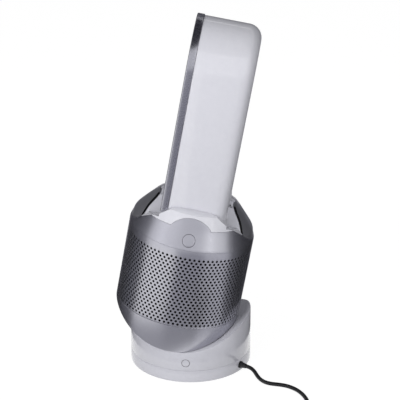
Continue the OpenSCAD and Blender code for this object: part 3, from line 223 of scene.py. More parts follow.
mixed = add(tree, "ShaderNodeMixShader", inputs={
    0: seen_too.outputs[0], 1: dull.outputs[0], 2: both.outputs[0]})
tree.links.new(mixed.outputs[0], tree.nodes["Material Output"].inputs["Surface"])
floor.data.materials.append(floor_mat)

world = bpy.data.worlds.new("studio")
bpy.context.scene.world = world
world.use_nodes = True
tree = world.node_tree
rays = add(tree, "ShaderNodeLightPath")
seen = add(tree, "ShaderNodeMath", {"operation": "MAXIMUM"},
           {0: rays.outputs["Is Camera Ray"], 1: rays.outputs["Is Glossy Ray"]})
seen_too = add(tree, "ShaderNodeMath", {"operation": "MAXIMUM"},
               {0: seen.outputs[0], 1: rays.outputs["Is Transmission Ray"]})
strength = add(tree, "ShaderNodeMapRange", inputs={0: seen_too.outputs[0], 3: 0.38, 4: 1.0})
tree.links.new(strength.outputs[0], tree.nodes["Background"].inputs["Strength"])
tree.nodes["Background"].inputs["Color"].default_value = (1, 1, 1, 1)
print("stage", floor.name, "and world", world.name)

# %% [markdown]
# ## Lamps and cards
# The drum's bright streaks and dark edges are reflections of tall soft boxes and of pale and dark cards,
# as in a product studio. The soft boxes give the light and don't show in the paint. Two narrow strips
# give the streaks. The cards go round the machine in sectors and show only in reflections.


# %% Lamps and cards
LAMP_AWAY, LOOK_AT = 2.2, (0, 0, 0.3)
CARD_RADII, CARD_TOP, CARD_STEPS = (0.17, 0.42, 0.95, 2.6), 2.4, 24
CEILING_R, CEILING_Z, CEILING_TONE = 2.4, 2.6, "#3A3A40"


def aim(place, target):
    return (Vector(target) - Vector(place)).to_track_quat("-Z", "Y").to_euler()


def softbox(name, angle, distance, height, width, tall, power):
    """A tall lamp at an angle round the machine, counted from the camera's side towards +Y."""
    a = math.radians(angle)
    place = Vector((distance * math.cos(a), distance * math.sin(a), height))
    lamp = bpy.data.lights.new(name, "AREA")
    lamp.shape = "RECTANGLE"
    lamp.size, lamp.size_y, lamp.energy = width, tall, power
    made = bpy.data.objects.new(name, lamp)
    made.location, made.rotation_euler = place, aim(place, LOOK_AT)
    made.visible_camera = False
    bpy.context.scene.collection.objects.link(made)
    return made


def card_paper(name, tone):
    """A paper that glows with one tone, whatever the lamps do."""
    made, tree, shader = new_material(name, tone)
    glow = add(tree, "ShaderNodeEmission", inputs={"Color": colour(tone), "Strength": 1.0})
    tree.links.new(glow.outputs[0], tree.nodes["Material Output"].inputs["Surface"])
    return made


def only_reflected(made):
    """Hides a card from all but glossy rays."""
    made.visible_camera = made.visible_diffuse = made.visible_shadow = made.visible_transmission = False


def standing_card(name, start, end, near, middle, far, wall):
    """Cards seen only in reflections, over a range of angles: three on the floor, farther and farther out,
    and one that stands up behind them. Each glows with its own tone."""
    bm = bmesh.new()
    verts = [bm.verts.new((r, 0, 0)) for r in CARD_RADII] + [bm.verts.new((CARD_RADII[-1], 0, CARD_TOP))]
    edges = [bm.edges.new(pair) for pair in zip(verts, verts[1:])]
    bmesh.ops.rotate(bm, verts=verts, matrix=Matrix.Rotation(math.radians(start), 3, "Z"))
    bmesh.ops.spin(bm, geom=verts + edges, cent=(0, 0, 0), axis=(0, 0, 1), dvec=(0, 0, 0),
                   angle=math.radians(end - start), steps=CARD_STEPS, use_merge=False)
    for f in bm.faces:
        at = f.calc_center_median()
        f.material_index = 3 if at.z > 0.1 else sum(at.to_2d().length > edge for edge in CARD_RADII[1:3])
    made = new_mesh_object(name, bm)
    for part, tone in (("near", near), ("middle", middle), ("far", far), ("wall", wall)):
        made.data.materials.append(card_paper(name + "_" + part, tone))
    only_reflected(made)


for lamp in (softbox("key_softbox", -32, LAMP_AWAY, 1.0, 0.8, 1.6, 27),
             softbox("fill_softbox", 30, LAMP_AWAY, 1.0, 0.5, 1.6, 13),
             softbox("top_softbox", 0, 0.01, 2.6, 1.6, 1.6, 3)):
    lamp.visible_glossy = False
softbox("right_strip", 41, LAMP_AWAY, 0.9, 0.05, 1.6, 1.0)
softbox("left_strip", -50, LAMP_AWAY, 0.9, 0.05, 1.6, 0.7)
standing_card("left_edge_card", -104, -76, "#3C3C40", "#50505A", "#50505A", "#585860")
standing_card("left_card", -76, -20, "#A4A4AA", "#FFFFFF", "#FFFFFF", "#F0F0F4")
standing_card("middle_card", -20, 28, "#96969C", "#90909A", "#90909A", "#DCDCE0")
standing_card("right_card", 28, 74, "#C2C2C8", "#CCCCD2", "#CCCCD2", "#FFFFFF")
standing_card("right_edge_card", 74, 96, "#5A5A60", "#48484E", "#48484E", "#4C4C52")
standing_card("side_card", 96, 150, "#1E1E22", "#18181C", "#2A2A30", "#34343A")
standing_card("rear_right_card", 150, 180, "#2E2E34", "#8E8E94", "#7A7A82", "#5C5C62")
standing_card("rear_left_card", 180, 214, "#86868C", "#C8C8CE", "#84848A", "#5C5C62")
standing_card("far_card", 214, 256, "#1E1E22", "#1E1E22", "#2E2E34", "#3C3C42")
ceiling_bm = bmesh.new()
bmesh.ops.create_circle(ceiling_bm, cap_ends=True, radius=CEILING_R, segments=48)
bmesh.ops.translate(ceiling_bm, verts=ceiling_bm.verts, vec=(0, 0, CEILING_Z))
ceiling = new_mesh_object("ceiling_card", ceiling_bm)
ceiling.data.materials.append(card_paper("ceiling_paper", CEILING_TONE))
only_reflected(ceiling)

# %% [markdown]
# ## Finishes
# Each finish is named for what the real one is, except the filter's, which is painted shade. The white
# parts are glossy ABS, the drum is nickel-grey satin paint with fine metal flake, and the band is a
# darker, smoother metallic.

# %% Materials
def finish(name, base, light, grain, depth, shine, stretch=(1, 1, 1), **more):
    """A finish with its fine texture. A noise of a real size, in millimetres, moves its tone between two
    colours, its roughness between two values, and its surface by a depth in millimetres."""
    made, tree, shader = new_material(name, base, **more)
    where = add(tree, "ShaderNodeTexCoord")
    placed = add(tree, "ShaderNodeMapping", inputs={"Vector": where.outputs["Object"], "Scale": stretch})
    noise = add(tree, "ShaderNodeTexNoise", inputs={
        "Vector": placed.outputs[0], "Scale": 1 / (grain * MM), "Detail": 3, "Roughness": 0.6})
    mixed = tree.nodes.new("ShaderNodeMix")
    mixed.data_type = "RGBA"
    tree.links.new(noise.outputs["Fac"], mixed.inputs[0])
    mixed.inputs[6].default_value, mixed.inputs[7].default_value = colour(base), colour(light)
    tree.links.new(mixed.outputs[2], shader.inputs["Base Color"])
    rough = add(tree, "ShaderNodeMapRange", inputs={
        0: noise.outputs["Fac"], 1: 0.3, 2: 0.7, 3: shine[0], 4: shine[1]})
    tree.links.new(rough.outputs[0], shader.inputs["Roughness"])
    bump = add(tree, "ShaderNodeBump", inputs={
        "Strength": 1.0, "Distance": depth * MM, "Height": noise.outputs["Fac"]})
    tree.links.new(bump.outputs[0], shader.inputs["Normal"])
    return made


# Each row: name, the darker and the lighter colour, grain size, grain depth, roughness range
MATERIALS = {
    # Moulded ABS under a clear gloss: faint long waves in the reflections
    "silver_gloss": finish("glossy_silver_abs", "#C6C6CE", "#CECED6", 9, 0.010, (0.10, 0.16),
                           Coat_Weight=0.4),
    # The same moulding in the lighter colour of the loop
    "white_gloss": finish("glossy_white_abs", "#D2D2DA", "#D9D9E0", 9, 0.010, (0.10, 0.15),
                          Coat_Weight=0.4),
    # Metal flake in a satin paint: tiny lighter and darker points. Real flake is far finer than a pixel,
    # so it is drawn at 0.8 mm
    "silver_satin": finish("satin_nickel_paint", "#BCBCC4", "#CECED6", 0.8, 0.002, (0.28, 0.36),
                           metallic=0.95),
    # A smoother paint with finer flake: an even sheen with blurred reflections, also drawn at 0.8 mm
    "dark_mirror": finish("dark_nickel_paint", "#BCBCC4", "#C4C4CC", 0.8, 0.0003, (0.25, 0.29),
                          metallic=1.0),
    # Spark-grained polypropylene, as on plugs and strain reliefs: a dull black with a grey bloom
    "black_plastic": finish("black_grained_pp", "#121214", "#1E1E21", 0.9, 0.03, (0.42, 0.6)),
    # Extruded PVC: a smooth black with a soft line of light along it
    "cord_black": finish("black_pvc_cord", "#0C0C0E", "#151517", 2.5, 0.02, (0.30, 0.42)),
    # Moulded rubber: black, with hardly any light on it
    "rubber": finish("black_epdm_rubber", "#0F0F11", "#1C1C1E", 1.2, 0.03, (0.65, 0.85)),
    # Moulded nylon: warm white and a little waxy
    "white_nylon": finish("white_nylon_66", "#D2D0C6", "#DEDCD4", 2.0, 0.02, (0.38, 0.5)),
    # Zinc on drawn wire and sheet: soft streaks along the pull
    "steel": finish("zinc_plated_steel", "#A4A6A8", "#C0C2C4", 1.5, 0.01, (0.28, 0.42), (1, 1, 0.2),
                    metallic=1.0),
    # Steel blackened in a hot bath: dark, with blurred lights
    "steel_dark": finish("blackened_steel", "#26262A", "#36363A", 1.5, 0.01, (0.38, 0.5), metallic=0.8),
    # Plain moulded ABS in mid grey: matt, with a fine grain
    "grey_plastic": finish("grey_abs", "#525256", "#626266", 1.2, 0.02, (0.42, 0.58)),
    # The filter's cloth: near black, as painted shade of the drum's dark inside seen through the holes, with
    # coarse fibres
    "filter_paper": finish("filter_cloth_painted_shade", "#050506", "#141416", 1.5, 0.2, (0.85, 1.0)),
    # Green lacquer over copper: glossy, with lighter and darker green
    "board_green": finish("lacquered_circuit_board", "#124A2E", "#1F6442", 3.0, 0.02, (0.25, 0.4)),
    # Smoked acrylic: almost black and very glossy
    "lens_black": finish("smoked_acrylic_window", "#060608", "#0A0A0C", 12, 0.004, (0.05, 0.09)),
    # Die-cast aluminium: pale grey and slightly rough
    "motor_silver": finish("cast_aluminium", "#9C9EA0", "#B2B4B6", 1.0, 0.03, (0.38, 0.52), metallic=1.0),
    # Bright brass: yellow, with fine streaks along the pins
    "brass_pins": finish("bright_brass", "#CCA85E", "#DDBB74", 1.5, 0.006, (0.18, 0.3), (1, 1, 0.2),
                         metallic=1.0),
}
slot_of = {part["node"]: part["material_slot"] for part in frame["record"]["subparts"]}
for name, node in NODES.items():
    node.data.materials.clear()
    node.data.materials.append(MATERIALS[slot_of[name]])
mains_cord.data.materials.append(MATERIALS["cord_black"])
print("finishes", len(MATERIALS))

# %% [markdown]
# ## Turned and pushed forms
# The collar, the shields and the ridge are thin skins cut from turned forms, as the part's source cuts
# them. A profile is spun round the drum's axis, and an outline is pushed along X or Y. All of it is drawn
# upright and leaned back at the end. The profiles are shares of the drum's radius and the dome's height.

# %% Turned and pushed forms
COLLAR_Z, DOME_H = 253.5, 62.5
DRUM = 109
CONE = [(1, 0), (0.9450, 0.283), (0.9020, 0.515), (0.8700, 0.730), (0.8450, 0.870), (0.8280, 0.925),
        (0.7900, 0.965), (0.7100, 1)]
DOME = [(1, 0), (0.9835, 0.060), (0.9680, 0.150), (0.9500, 0.265), (0.8780, 0.425),
        (0.7880, 0.607), (0.6840, 0.780), (0.6260, 0.888), (0.5410, 0.968), (0.4400, 1)]
SHOULDER = [(1.08, -0.060), (0.9633, 0.092), (0.8073, 0.332), (0.6340, 0.558),
            (0.5150, 0.720), (0.4100, 0.870), (0.3500, 0.950), (0.2600, 0.990), (0, 1)]


def sized(shares, inset=0.0):
    """An outline in shares of the drum's radius and the dome's height, in millimetres, drawn in by an
    inset."""
    return [(s.x * DRUM - inset, COLLAR_Z + s.y * DOME_H - inset * s.y)
            for s in rounded([Vector((a, b, 0)) for a, b in shares], 3)]


def arc(x, y, r, start, end, steps=12):
    turn = [math.radians(start + (end - start) * i / steps) for i in range(steps + 1)]
    return [(x + r * math.cos(a), y + r * math.sin(a)) for a in turn]


def circle(x, y, r):
    """A whole round outline of 48 points."""
    return arc(x, y, r, 0, 352.5, 47)


def turned(profile, closed=False, steps=180):
    """A solid turned about the drum's axis from (radius, height) points in millimetres."""
    bm = bmesh.new()
    verts = [bm.verts.new((r * MM, 0, z * MM)) for r, z in profile]
    edges = [bm.edges.new(pair) for pair in zip(verts, verts[1:] + (verts[:1] if closed else []))]
    bmesh.ops.spin(bm, geom=verts + edges, cent=(0, 0, 0), axis=(0, 0, 1), dvec=(0, 0, 0),
                   angle=2 * math.pi, steps=steps, use_merge=True)
    bmesh.ops.remove_doubles(bm, verts=bm.verts[:], dist=0.001 * MM)
    bmesh.ops.recalc_face_normals(bm, faces=bm.faces[:])
    return bm


def pushed(outline, axis, low, high):
    """A solid with an outline seen along X or Y, pushed from low to high along that axis."""
    bm = bmesh.new()

    def place(u, v, w):
        return Vector((w, u, v) if axis == "X" else (u, w, v)) * MM
    face = bm.faces.new([bm.verts.new(place(u, v, low)) for u, v in outline])
    far = bmesh.ops.extrude_face_region(bm, geom=[face])["geom"]
    bmesh.ops.translate(bm, verts=[v for v in far if isinstance(v, bmesh.types.BMVert)],
                        vec=place(0, 0, high - low))
    bmesh.ops.recalc_face_normals(bm, faces=bm.faces[:])
    return bm


print("dome from", COLLAR_Z, "to", COLLAR_Z + DOME_H)

# %% [markdown]
# ## Cutting one form by another
# Blender's Boolean modifier cuts one closed mesh by another, and its exact solver copes with walls that
# lie close together. The function lends both meshes to objects, takes the evaluated result and clears
# them away again.


# %% Cuts
def cut(bm, tool, operation="DIFFERENCE"):
    """One closed mesh cut by another or kept inside it. Both are used up."""
    body, knife = new_mesh_object("cut_body", bm), new_mesh_object("cut_knife", tool)
    step = body.modifiers.new("cut", "BOOLEAN")
    step.operation, step.solver, step.object = operation, "EXACT", knife
    result = bmesh.new()
    result.from_object(body, bpy.context.evaluated_depsgraph_get())
    for used in (body, knife):
        mesh = used.data
        bpy.data.objects.remove(used)
        bpy.data.meshes.remove(mesh)
    bmesh.ops.remove_doubles(result, verts=result.verts[:], dist=0.002 * MM)
    return result


# %% [markdown]
# ## Soft edges and a node's place
# Flat faces and turned walls meet in edges that are either kept crisp or shaded over, by their angle. A
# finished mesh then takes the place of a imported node: it rides the same body and has the same finish.

# %% Soft edges and a node's place
BODY_OF = {node: body for body, nodes in frame["record"]["behaviour"]["bodies"].items() for node in nodes}


def smooth_by_angle(bm, degrees=30):
    for f in bm.faces:
        f.smooth = True
    for e in bm.edges:
        e.smooth = not (len(e.link_faces) == 2 and e.calc_face_angle(0) > math.radians(degrees))


def soften(bm, width, steps=2, sharp=32):
    """Rounds the sharp edges by a width in millimetres and shades the rest smoothly."""
    edges = [e for e in bm.edges if len(e.link_faces) == 2 and e.calc_face_angle(0) > math.radians(sharp)]
    bmesh.ops.bevel(bm, geom=edges, offset=width * MM, offset_type="OFFSET", segments=steps, profile=0.5,
                    affect="EDGES", material=-1, clamp_overlap=True)
    smooth_by_angle(bm, 40)


def stand_in(name, bm, node):
    """Puts a finished mesh in a node's place, on its body and with its finish."""
    made = new_mesh_object(name, bm)
    slot = slot_of[node]
    made.data.materials.append(MATERIALS[slot])
    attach(made, BODY_OF[node])
    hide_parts(node)
    return made


def merged(node):
    """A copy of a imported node's mesh with its loose triangles joined and its flats made whole."""
    bm = bmesh.new()
    bm.from_mesh(NODES[node].data)
    bmesh.ops.remove_doubles(bm, verts=bm.verts[:], dist=0.005 * MM)
    bmesh.ops.dissolve_limit(bm, angle_limit=math.radians(0.3), use_dissolve_boundaries=False,
                             verts=bm.verts[:], edges=bm.edges[:])
    return bm


print("nodes on bodies", len(BODY_OF))

# %% [markdown]
# ## Mouldings with softened edges
# A moulded or pressed part has no knife edges, and the thin highlight along each edge is what makes it
# look made. These parts keep their imported shape, and a copy of each gets its edges rounded. The band's
# lowest faces are painted black, as painted shade of the gap under its foot.

# %% Softened copies
EDGE_ROUNDS = {"saddle": 0.9, "base_ring": 0.6, "loop_shell": 0.8, "loop_inner": 0.4, "loop_band": 0.5,
               "release_button_left": 0.15, "release_button_right": 0.15, "power_button": 0.2}
BAND_GAP_SHADE_Z = 301.05
for node, width in EDGE_ROUNDS.items():
    bm = merged(node)
    soften(bm, width)
    made = stand_in("soft_" + node, bm, node)
    # The band's lowest faces take the black finish, as painted shade of the gap under its foot
    if node == "loop_band":
        made.data.materials.append(MATERIALS["black_plastic"])
        for f in made.data.polygons:
            f.material_index = int((LEANING.inverted() @ f.center).z < BAND_GAP_SHADE_Z * MM)
    print(made.name, len(made.data.polygons), "faces")

# %% [markdown]
# ## The perforated sleeve
# The real sleeve is a thin steel sheet with almost two thousand punched round holes in staggered rows,
# rolled into a drum. It is made the same way here. One small tile has a round hole in a six-sided
# outline, whose corners meet the tiles beside, above and below it.

# %% One tile with its hole
DRUM_R, SLEEVE_WALL = 109 * MM, 1.6 * MM
SLEEVE_LOW, SLEEVE_TOP = 110.05 * MM, 253.48 * MM
ROW_LOW, ROW_PITCH, ROWS, AROUND = 114.7 * MM, 5.605 * MM, 23, 86
HOLE_R = 2.2 * MM
TILE_W = 2 * math.pi * DRUM_R / AROUND


def on_tile_edge(angle):
    """The six-sided outline between a hole and its neighbours, at an angle in steps of 30 degrees."""
    half = TILE_W / 2
    high = (half ** 2 + ROW_PITCH ** 2) / (2 * ROW_PITCH)
    low = (ROW_PITCH ** 2 - half ** 2) / (2 * ROW_PITCH)
    corners = {0: (half, 0), 30: (half, low), 60: (half / 2, (low + high) / 2), 90: (0, high)}
    folded = angle % 180
    x, y = corners[min(folded, 180 - folded)]
    return (x if math.cos(math.radians(angle)) > -1e-6 else -x), (y if angle % 360 < 180 else -y)


sleeve_bm = bmesh.new()
bmesh.ops.create_circle(sleeve_bm, segments=12, radius=HOLE_R)
edge = bmesh.ops.create_circle(sleeve_bm, segments=12, radius=TILE_W / 2)["verts"]
for v in edge:
    v.co.x, v.co.y = on_tile_edge(round(math.degrees(math.atan2(v.co.y, v.co.x)) / 30) * 30 % 360)
bmesh.ops.bridge_loops(sleeve_bm, edges=sleeve_bm.edges[:])
for v in sleeve_bm.verts:
    turn = v.co.x / DRUM_R
    v.co = Vector((DRUM_R * math.cos(turn), DRUM_R * math.sin(turn), ROW_LOW + v.co.y))
print("one tile has", len(sleeve_bm.faces), "faces")

# %% [markdown]
# ## From one tile to the drum
# A ring of tiles goes round the drum, and the ring is copied up row by row, every second one turned by
# half a tile. The rims are pulled out from the outer rows and rolled in a little. A second skin, drawn
# in by the sheet's thickness, closes the holes' walls.

# %% Ring, rows and rims
RIM_CLEAR = 1.2 * MM
RIM_ROLL = ((0.5, 0), (0.12, 0.12), (0, 0.5))
bmesh.ops.spin(sleeve_bm, geom=sleeve_bm.verts[:] + sleeve_bm.edges[:] + sleeve_bm.faces[:], cent=(0, 0, 0),
               axis=(0, 0, 1), dvec=(0, 0, 0), angle=2 * math.pi * (AROUND - 1) / AROUND, steps=AROUND - 1,
               use_duplicate=True)
ring = sleeve_bm.verts[:] + sleeve_bm.edges[:] + sleeve_bm.faces[:]
for row in range(1, ROWS):
    copied = bmesh.ops.duplicate(sleeve_bm, geom=ring)["geom"]
    verts = [v for v in copied if isinstance(v, bmesh.types.BMVert)]
    bmesh.ops.rotate(sleeve_bm, verts=verts, cent=(0, 0, 0),
                     matrix=Matrix.Rotation((row % 2) * math.pi / AROUND, 3, "Z"))
    bmesh.ops.translate(sleeve_bm, verts=verts, vec=(0, 0, row * ROW_PITCH))
bmesh.ops.remove_doubles(sleeve_bm, verts=sleeve_bm.verts[:], dist=0.02 * MM)
for level, is_outer in ((SLEEVE_LOW, lambda z: z < ROW_LOW - RIM_CLEAR),
                        (SLEEVE_TOP, lambda z: z > ROW_LOW + (ROWS - 1) * ROW_PITCH + RIM_CLEAR)):
    rim = [e for e in sleeve_bm.edges if e.is_boundary and all(is_outer(v.co.z) for v in e.verts)]
    towards_middle = 1 if level == SLEEVE_LOW else -1
    for back, shrink in RIM_ROLL:
        grown = bmesh.ops.extrude_edge_only(sleeve_bm, edges=rim)["geom"]
        rim = [e for e in grown if isinstance(e, bmesh.types.BMEdge) and e.is_boundary]
        for v in grown:
            if isinstance(v, bmesh.types.BMVert):
                flat = Vector((v.co.x, v.co.y, 0)).normalized() * (DRUM_R - shrink * MM)
                v.co = Vector((flat.x, flat.y, level + towards_middle * back * MM))
bmesh.ops.recalc_face_normals(sleeve_bm, faces=sleeve_bm.faces[:])
inside = bmesh.ops.extrude_face_region(sleeve_bm, geom=sleeve_bm.faces[:], use_keep_orig=True)["geom"]
bmesh.ops.scale(sleeve_bm, verts=[v for v in inside if isinstance(v, bmesh.types.BMVert)],
                vec=(1 - SLEEVE_WALL / DRUM_R, 1 - SLEEVE_WALL / DRUM_R, 1))
bmesh.ops.recalc_face_normals(sleeve_bm, faces=sleeve_bm.faces[:])
if sleeve_bm.calc_volume(signed=True) < 0:
    bmesh.ops.reverse_faces(sleeve_bm, faces=sleeve_bm.faces[:])
print("sleeve volume", round(sleeve_bm.calc_volume(signed=True) * 1e6, 2), "cm3")
smooth_by_angle(sleeve_bm)
bmesh.ops.transform(sleeve_bm, matrix=LEANING, verts=sleeve_bm.verts)
sleeve = stand_in("perforated_sleeve", sleeve_bm, "sleeve")
print("sleeve", len(sleeve.data.polygons), "faces")

# %% [markdown]
# ## The bowl
# The drum's bottom is curved only from front to rear, like a rocker, so that it rides in the saddle's
# trough. A disc is spun from a row of points, each point is dropped onto that curve, and the edge is
# pulled up to the sleeve and turned in under it.

# %% Bowl
BELLY_R, BELLY_Z, BOWL_ROD_R, BOWL_TOP = 160.7, 221.1, 176.8, 109.9
ROD_Y, ROD_Z = -8.3, 236
BOWL_WALL, BOWL_LIP = 1.5, 2.2


def bowl_floor(y):
    """Height of the bowl's underside: the rocker curve, or the round that fits the saddle's trough."""
    return max(BELLY_Z - math.sqrt(BELLY_R ** 2 - y ** 2),
               ROD_Z - math.sqrt(BOWL_ROD_R ** 2 - (y - ROD_Y) ** 2))


bowl_bm = turned([(DRUM * k / 30, 0) for k in range(31)], steps=240)
for v in bowl_bm.verts:
    v.co.z = bowl_floor(v.co.y / MM) * MM
for level, radius in ((BOWL_TOP - 0.5, DRUM), (BOWL_TOP, DRUM - 0.5), (BOWL_TOP, DRUM - BOWL_LIP),
                      (BOWL_TOP + 2.4, DRUM - BOWL_LIP), (BOWL_TOP + 2.4, DRUM - 4.2),
                      (BOWL_TOP - 8, DRUM - 4.2)):
    rim = [e for e in bowl_bm.edges if e.is_boundary]
    for v in bmesh.ops.extrude_edge_only(bowl_bm, edges=rim)["geom"]:
        if isinstance(v, bmesh.types.BMVert):
            flat = Vector((v.co.x, v.co.y, 0)).normalized() * radius * MM
            v.co = Vector((flat.x, flat.y, max(level, bowl_floor(flat.y / MM) + BOWL_WALL) * MM))
bmesh.ops.recalc_face_normals(bowl_bm, faces=bowl_bm.faces[:])
turn_edges = [e for e in bowl_bm.edges if not e.is_boundary and e.calc_face_angle(0) > math.radians(30)
              and all(math.hypot(v.co.x, v.co.y) > 108.9 * MM and v.co.z < 109 * MM for v in e.verts)]
bmesh.ops.bevel(bowl_bm, geom=turn_edges, offset=1.2 * MM, offset_type="OFFSET", segments=3, profile=0.5,
                affect="EDGES", material=-1, clamp_overlap=True)
smooth_by_angle(bowl_bm, 40)
bmesh.ops.transform(bowl_bm, matrix=LEANING, verts=bowl_bm.verts)
bowl = stand_in("drum_bowl", bowl_bm, "bowl")
print("bowl", len(bowl.data.polygons), "faces")

# %% [markdown]
# ## The collar
# The collar is a thin cone of the same satin paint. Its upper edge is level, with a round lobe over each
# release button, and falls away at the front and rear with the shoulder. The outlines that cut it run on
# well past the machine, so that the cuts are clean.

# %% Collar
EDGE_Z, LOBE_R, LOBE_DROP = 287.7, 41.2, 22.5
BUTTON_Z, BUTTON_HOLE_R = 270, 11.0
COLLAR_WALL, FOOT_ROUND = 2.2, 0.5
PAST, WIDE, BELOW = 218, 150, 240
shoulder = sized(SHOULDER)
shoulder_line = [(-PAST, BELOW), (PAST, BELOW)] + shoulder + [(-y, z) for y, z in reversed(shoulder[:-1])]
lobe_end = math.degrees(math.asin(LOBE_DROP / LOBE_R))
collar_line = ([(-PAST, BELOW), (PAST, BELOW), (PAST, EDGE_Z)]
               + arc(0, EDGE_Z - LOBE_DROP, LOBE_R, lobe_end, 180 - lobe_end, 48) + [(-PAST, EDGE_Z)])
collar_bm = turned(sized(CONE) + list(reversed(sized(CONE, COLLAR_WALL))), closed=True)
collar_bm = cut(collar_bm, pushed(shoulder_line, "X", -WIDE, WIDE), "INTERSECT")
collar_bm = cut(collar_bm, pushed(collar_line, "X", -WIDE, WIDE), "INTERSECT")
collar_bm = cut(collar_bm, pushed(circle(0, BUTTON_Z, BUTTON_HOLE_R), "X", -WIDE, WIDE))
foot_edges = [e for e in collar_bm.edges
              if all(v.co.z < (COLLAR_Z + 0.05) * MM and math.hypot(v.co.x, v.co.y) > 108.9 * MM
                     for v in e.verts)]
bmesh.ops.bevel(collar_bm, geom=foot_edges, offset=FOOT_ROUND * MM, offset_type="OFFSET", segments=3,
                profile=0.5, affect="EDGES", material=-1, clamp_overlap=True)
smooth_by_angle(collar_bm, 40)
bmesh.ops.transform(collar_bm, matrix=LEANING, verts=collar_bm.verts)
collar = stand_in("satin_collar", collar_bm, "collar")
print("collar", len(collar.data.polygons), "faces")

# %% [markdown]
# ## The shields
# A grey skin covers the front and the rear of the ridge. It follows the dome, and two slopes cut its
# sides. Its cut edges are painted black, as painted shade of the gap beside the white ridge. The front
# one has a hole for the power button.

# %% Shields
ROOF_PEAK, ROOF_ROUND = 321.3, 20.5
SHIELD_T, SHIELD_END, SHIELD_SEAM = 2.2, 65, 0.4
POWER_Z, POWER_R = 268.5, 7


def roof_line(grow=0.0, foot=250):
    """The ridge seen from the front: two slopes of 45 degrees and a round top."""
    wide = ROOF_PEAK - foot
    return ([(-wide - grow, foot), (wide + grow, foot)]
            + arc(0, ROOF_PEAK - ROOF_ROUND * math.sqrt(2), ROOF_ROUND + grow, 45, 135, 10))


def dome_solid(inset):
    profile = sized(DOME, inset)
    return turned([(0, profile[0][1])] + profile + [(0, profile[-1][1])])


# A pearl lacquer over the moulding: grey, half a metal, with a soft sheen. Its flake is drawn at 0.8 mm
shield_paint = finish("grey_pearl_lacquer", "#7C7C82", "#84848A", 0.8, 0.0003, (0.28, 0.33),
                      metallic=0.45, Coat_Weight=0.2)
# Painted shade on the cut edge: black that draws the shaded gap between the skin and the white ridge
gap_shade_black = finish("painted_gap_shade", "#050506", "#0A0A0C", 2.0, 0.004, (0.3, 0.4))
for node, low, high in (("front_shield", -WIDE, -SHIELD_END), ("rear_shield", SHIELD_END, WIDE)):
    bm = turned(sized(DOME) + list(reversed(sized(DOME, SHIELD_T))), closed=True)
    bm = cut(bm, pushed(roof_line(), "Y", low, high), "INTERSECT")
    bm = cut(bm, pushed([(y, z + SHIELD_SEAM) for y, z in shoulder_line], "X", -WIDE, WIDE))
    if node == "front_shield":
        bm = cut(bm, pushed(circle(0, POWER_Z, POWER_R), "Y", -WIDE, -60))
    # Faces on the cutting slopes and at the skin's ends take the black of the painted gap shade
    for f in bm.faces:
        at = f.calc_center_median() / MM
        f.material_index = int(abs(abs(at.x) + at.z - ROOF_PEAK) < 0.2 or abs(abs(at.y) - SHIELD_END) < 0.2)
    smooth_by_angle(bm, 40)
    bmesh.ops.transform(bm, matrix=LEANING, verts=bm.verts)
    made = stand_in("polished_" + node, bm, node)
    made.data.materials[0] = shield_paint
    made.data.materials.append(gap_shade_black)
    print(made.name, len(made.data.polygons), "faces")

# %% [markdown]
# ## The hidden display
# The display can be seen only when it is lit, through the front shield's thin dark skin. So its window
# and its board sit just under the skin, and the shield has no hole there.

# %% Display window and board
LENS_AT = Matrix.Translation(Vector((0, -86.4, 291.5)) * MM) @ Matrix.Rotation(math.radians(45), 4, "X")
LENS_ROUND = 0.3
for name, node, low, high, r in (("display_window", "display_lens", -4.4, -2.6, 9),
                                 ("display_circuit", "display_board", -6, -4.6, 10)):
    bm = turned([(0, low), (r - LENS_ROUND, low), (r, low + LENS_ROUND), (r, high - LENS_ROUND),
                 (r - LENS_ROUND, high), (0, high)], steps=64)
    smooth_by_angle(bm, 30)
    bmesh.ops.transform(bm, matrix=LEANING @ LENS_AT, verts=bm.verts)
    print(stand_in(name, bm, node).name, "radius", r, "mm")

# %% [markdown]
# ## The ring mark
# A fine ring is printed on the saddle's side. It is a plain ring, a fraction of a millimetre thick, and
# it follows the saddle's round wall.

# %% Ring mark
RING_Z, RING_R, RING_W, RING_T, RING_PROUD = 38.5, 7.2, 0.7, 0.3, 0.12
ring_bm = bmesh.new()
bmesh.ops.create_circle(ring_bm, segments=48, radius=(RING_R - RING_W) * MM)
bmesh.ops.create_circle(ring_bm, segments=48, radius=RING_R * MM)
bmesh.ops.bridge_loops(ring_bm, edges=ring_bm.edges[:])
bmesh.ops.solidify(ring_bm, geom=ring_bm.faces[:], thickness=RING_T * MM)
saddle_r = max(math.hypot(v.co.x, v.co.y) for v in NODES["saddle"].data.vertices
               if abs(v.co.z - RING_Z * MM) < 20 * MM)
for v in ring_bm.verts:
    r = saddle_r + RING_PROUD * MM - v.co.z
    v.co = Vector((r * math.cos(v.co.x / saddle_r), r * math.sin(v.co.x / saddle_r), RING_Z * MM + v.co.y))
bmesh.ops.recalc_face_normals(ring_bm, faces=ring_bm.faces[:])
smooth_by_angle(ring_bm, 40)
ring_mark = new_mesh_object("saddle_ring_mark", ring_bm)
ring_mark.data.materials.append(MATERIALS["grey_plastic"])
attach(ring_mark, "saddle")
print("ring mark on radius", round(saddle_r / MM, 2), "mm")

# %% [markdown]
# ## The neck
# The white neck carries the loop. Its ridge runs on under both shields, with slopes that go down to a
# gutter behind the collar's rim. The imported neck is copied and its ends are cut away. The new ends are
# closed shells of their own in the same mesh, because joining them by a Boolean lost faces.

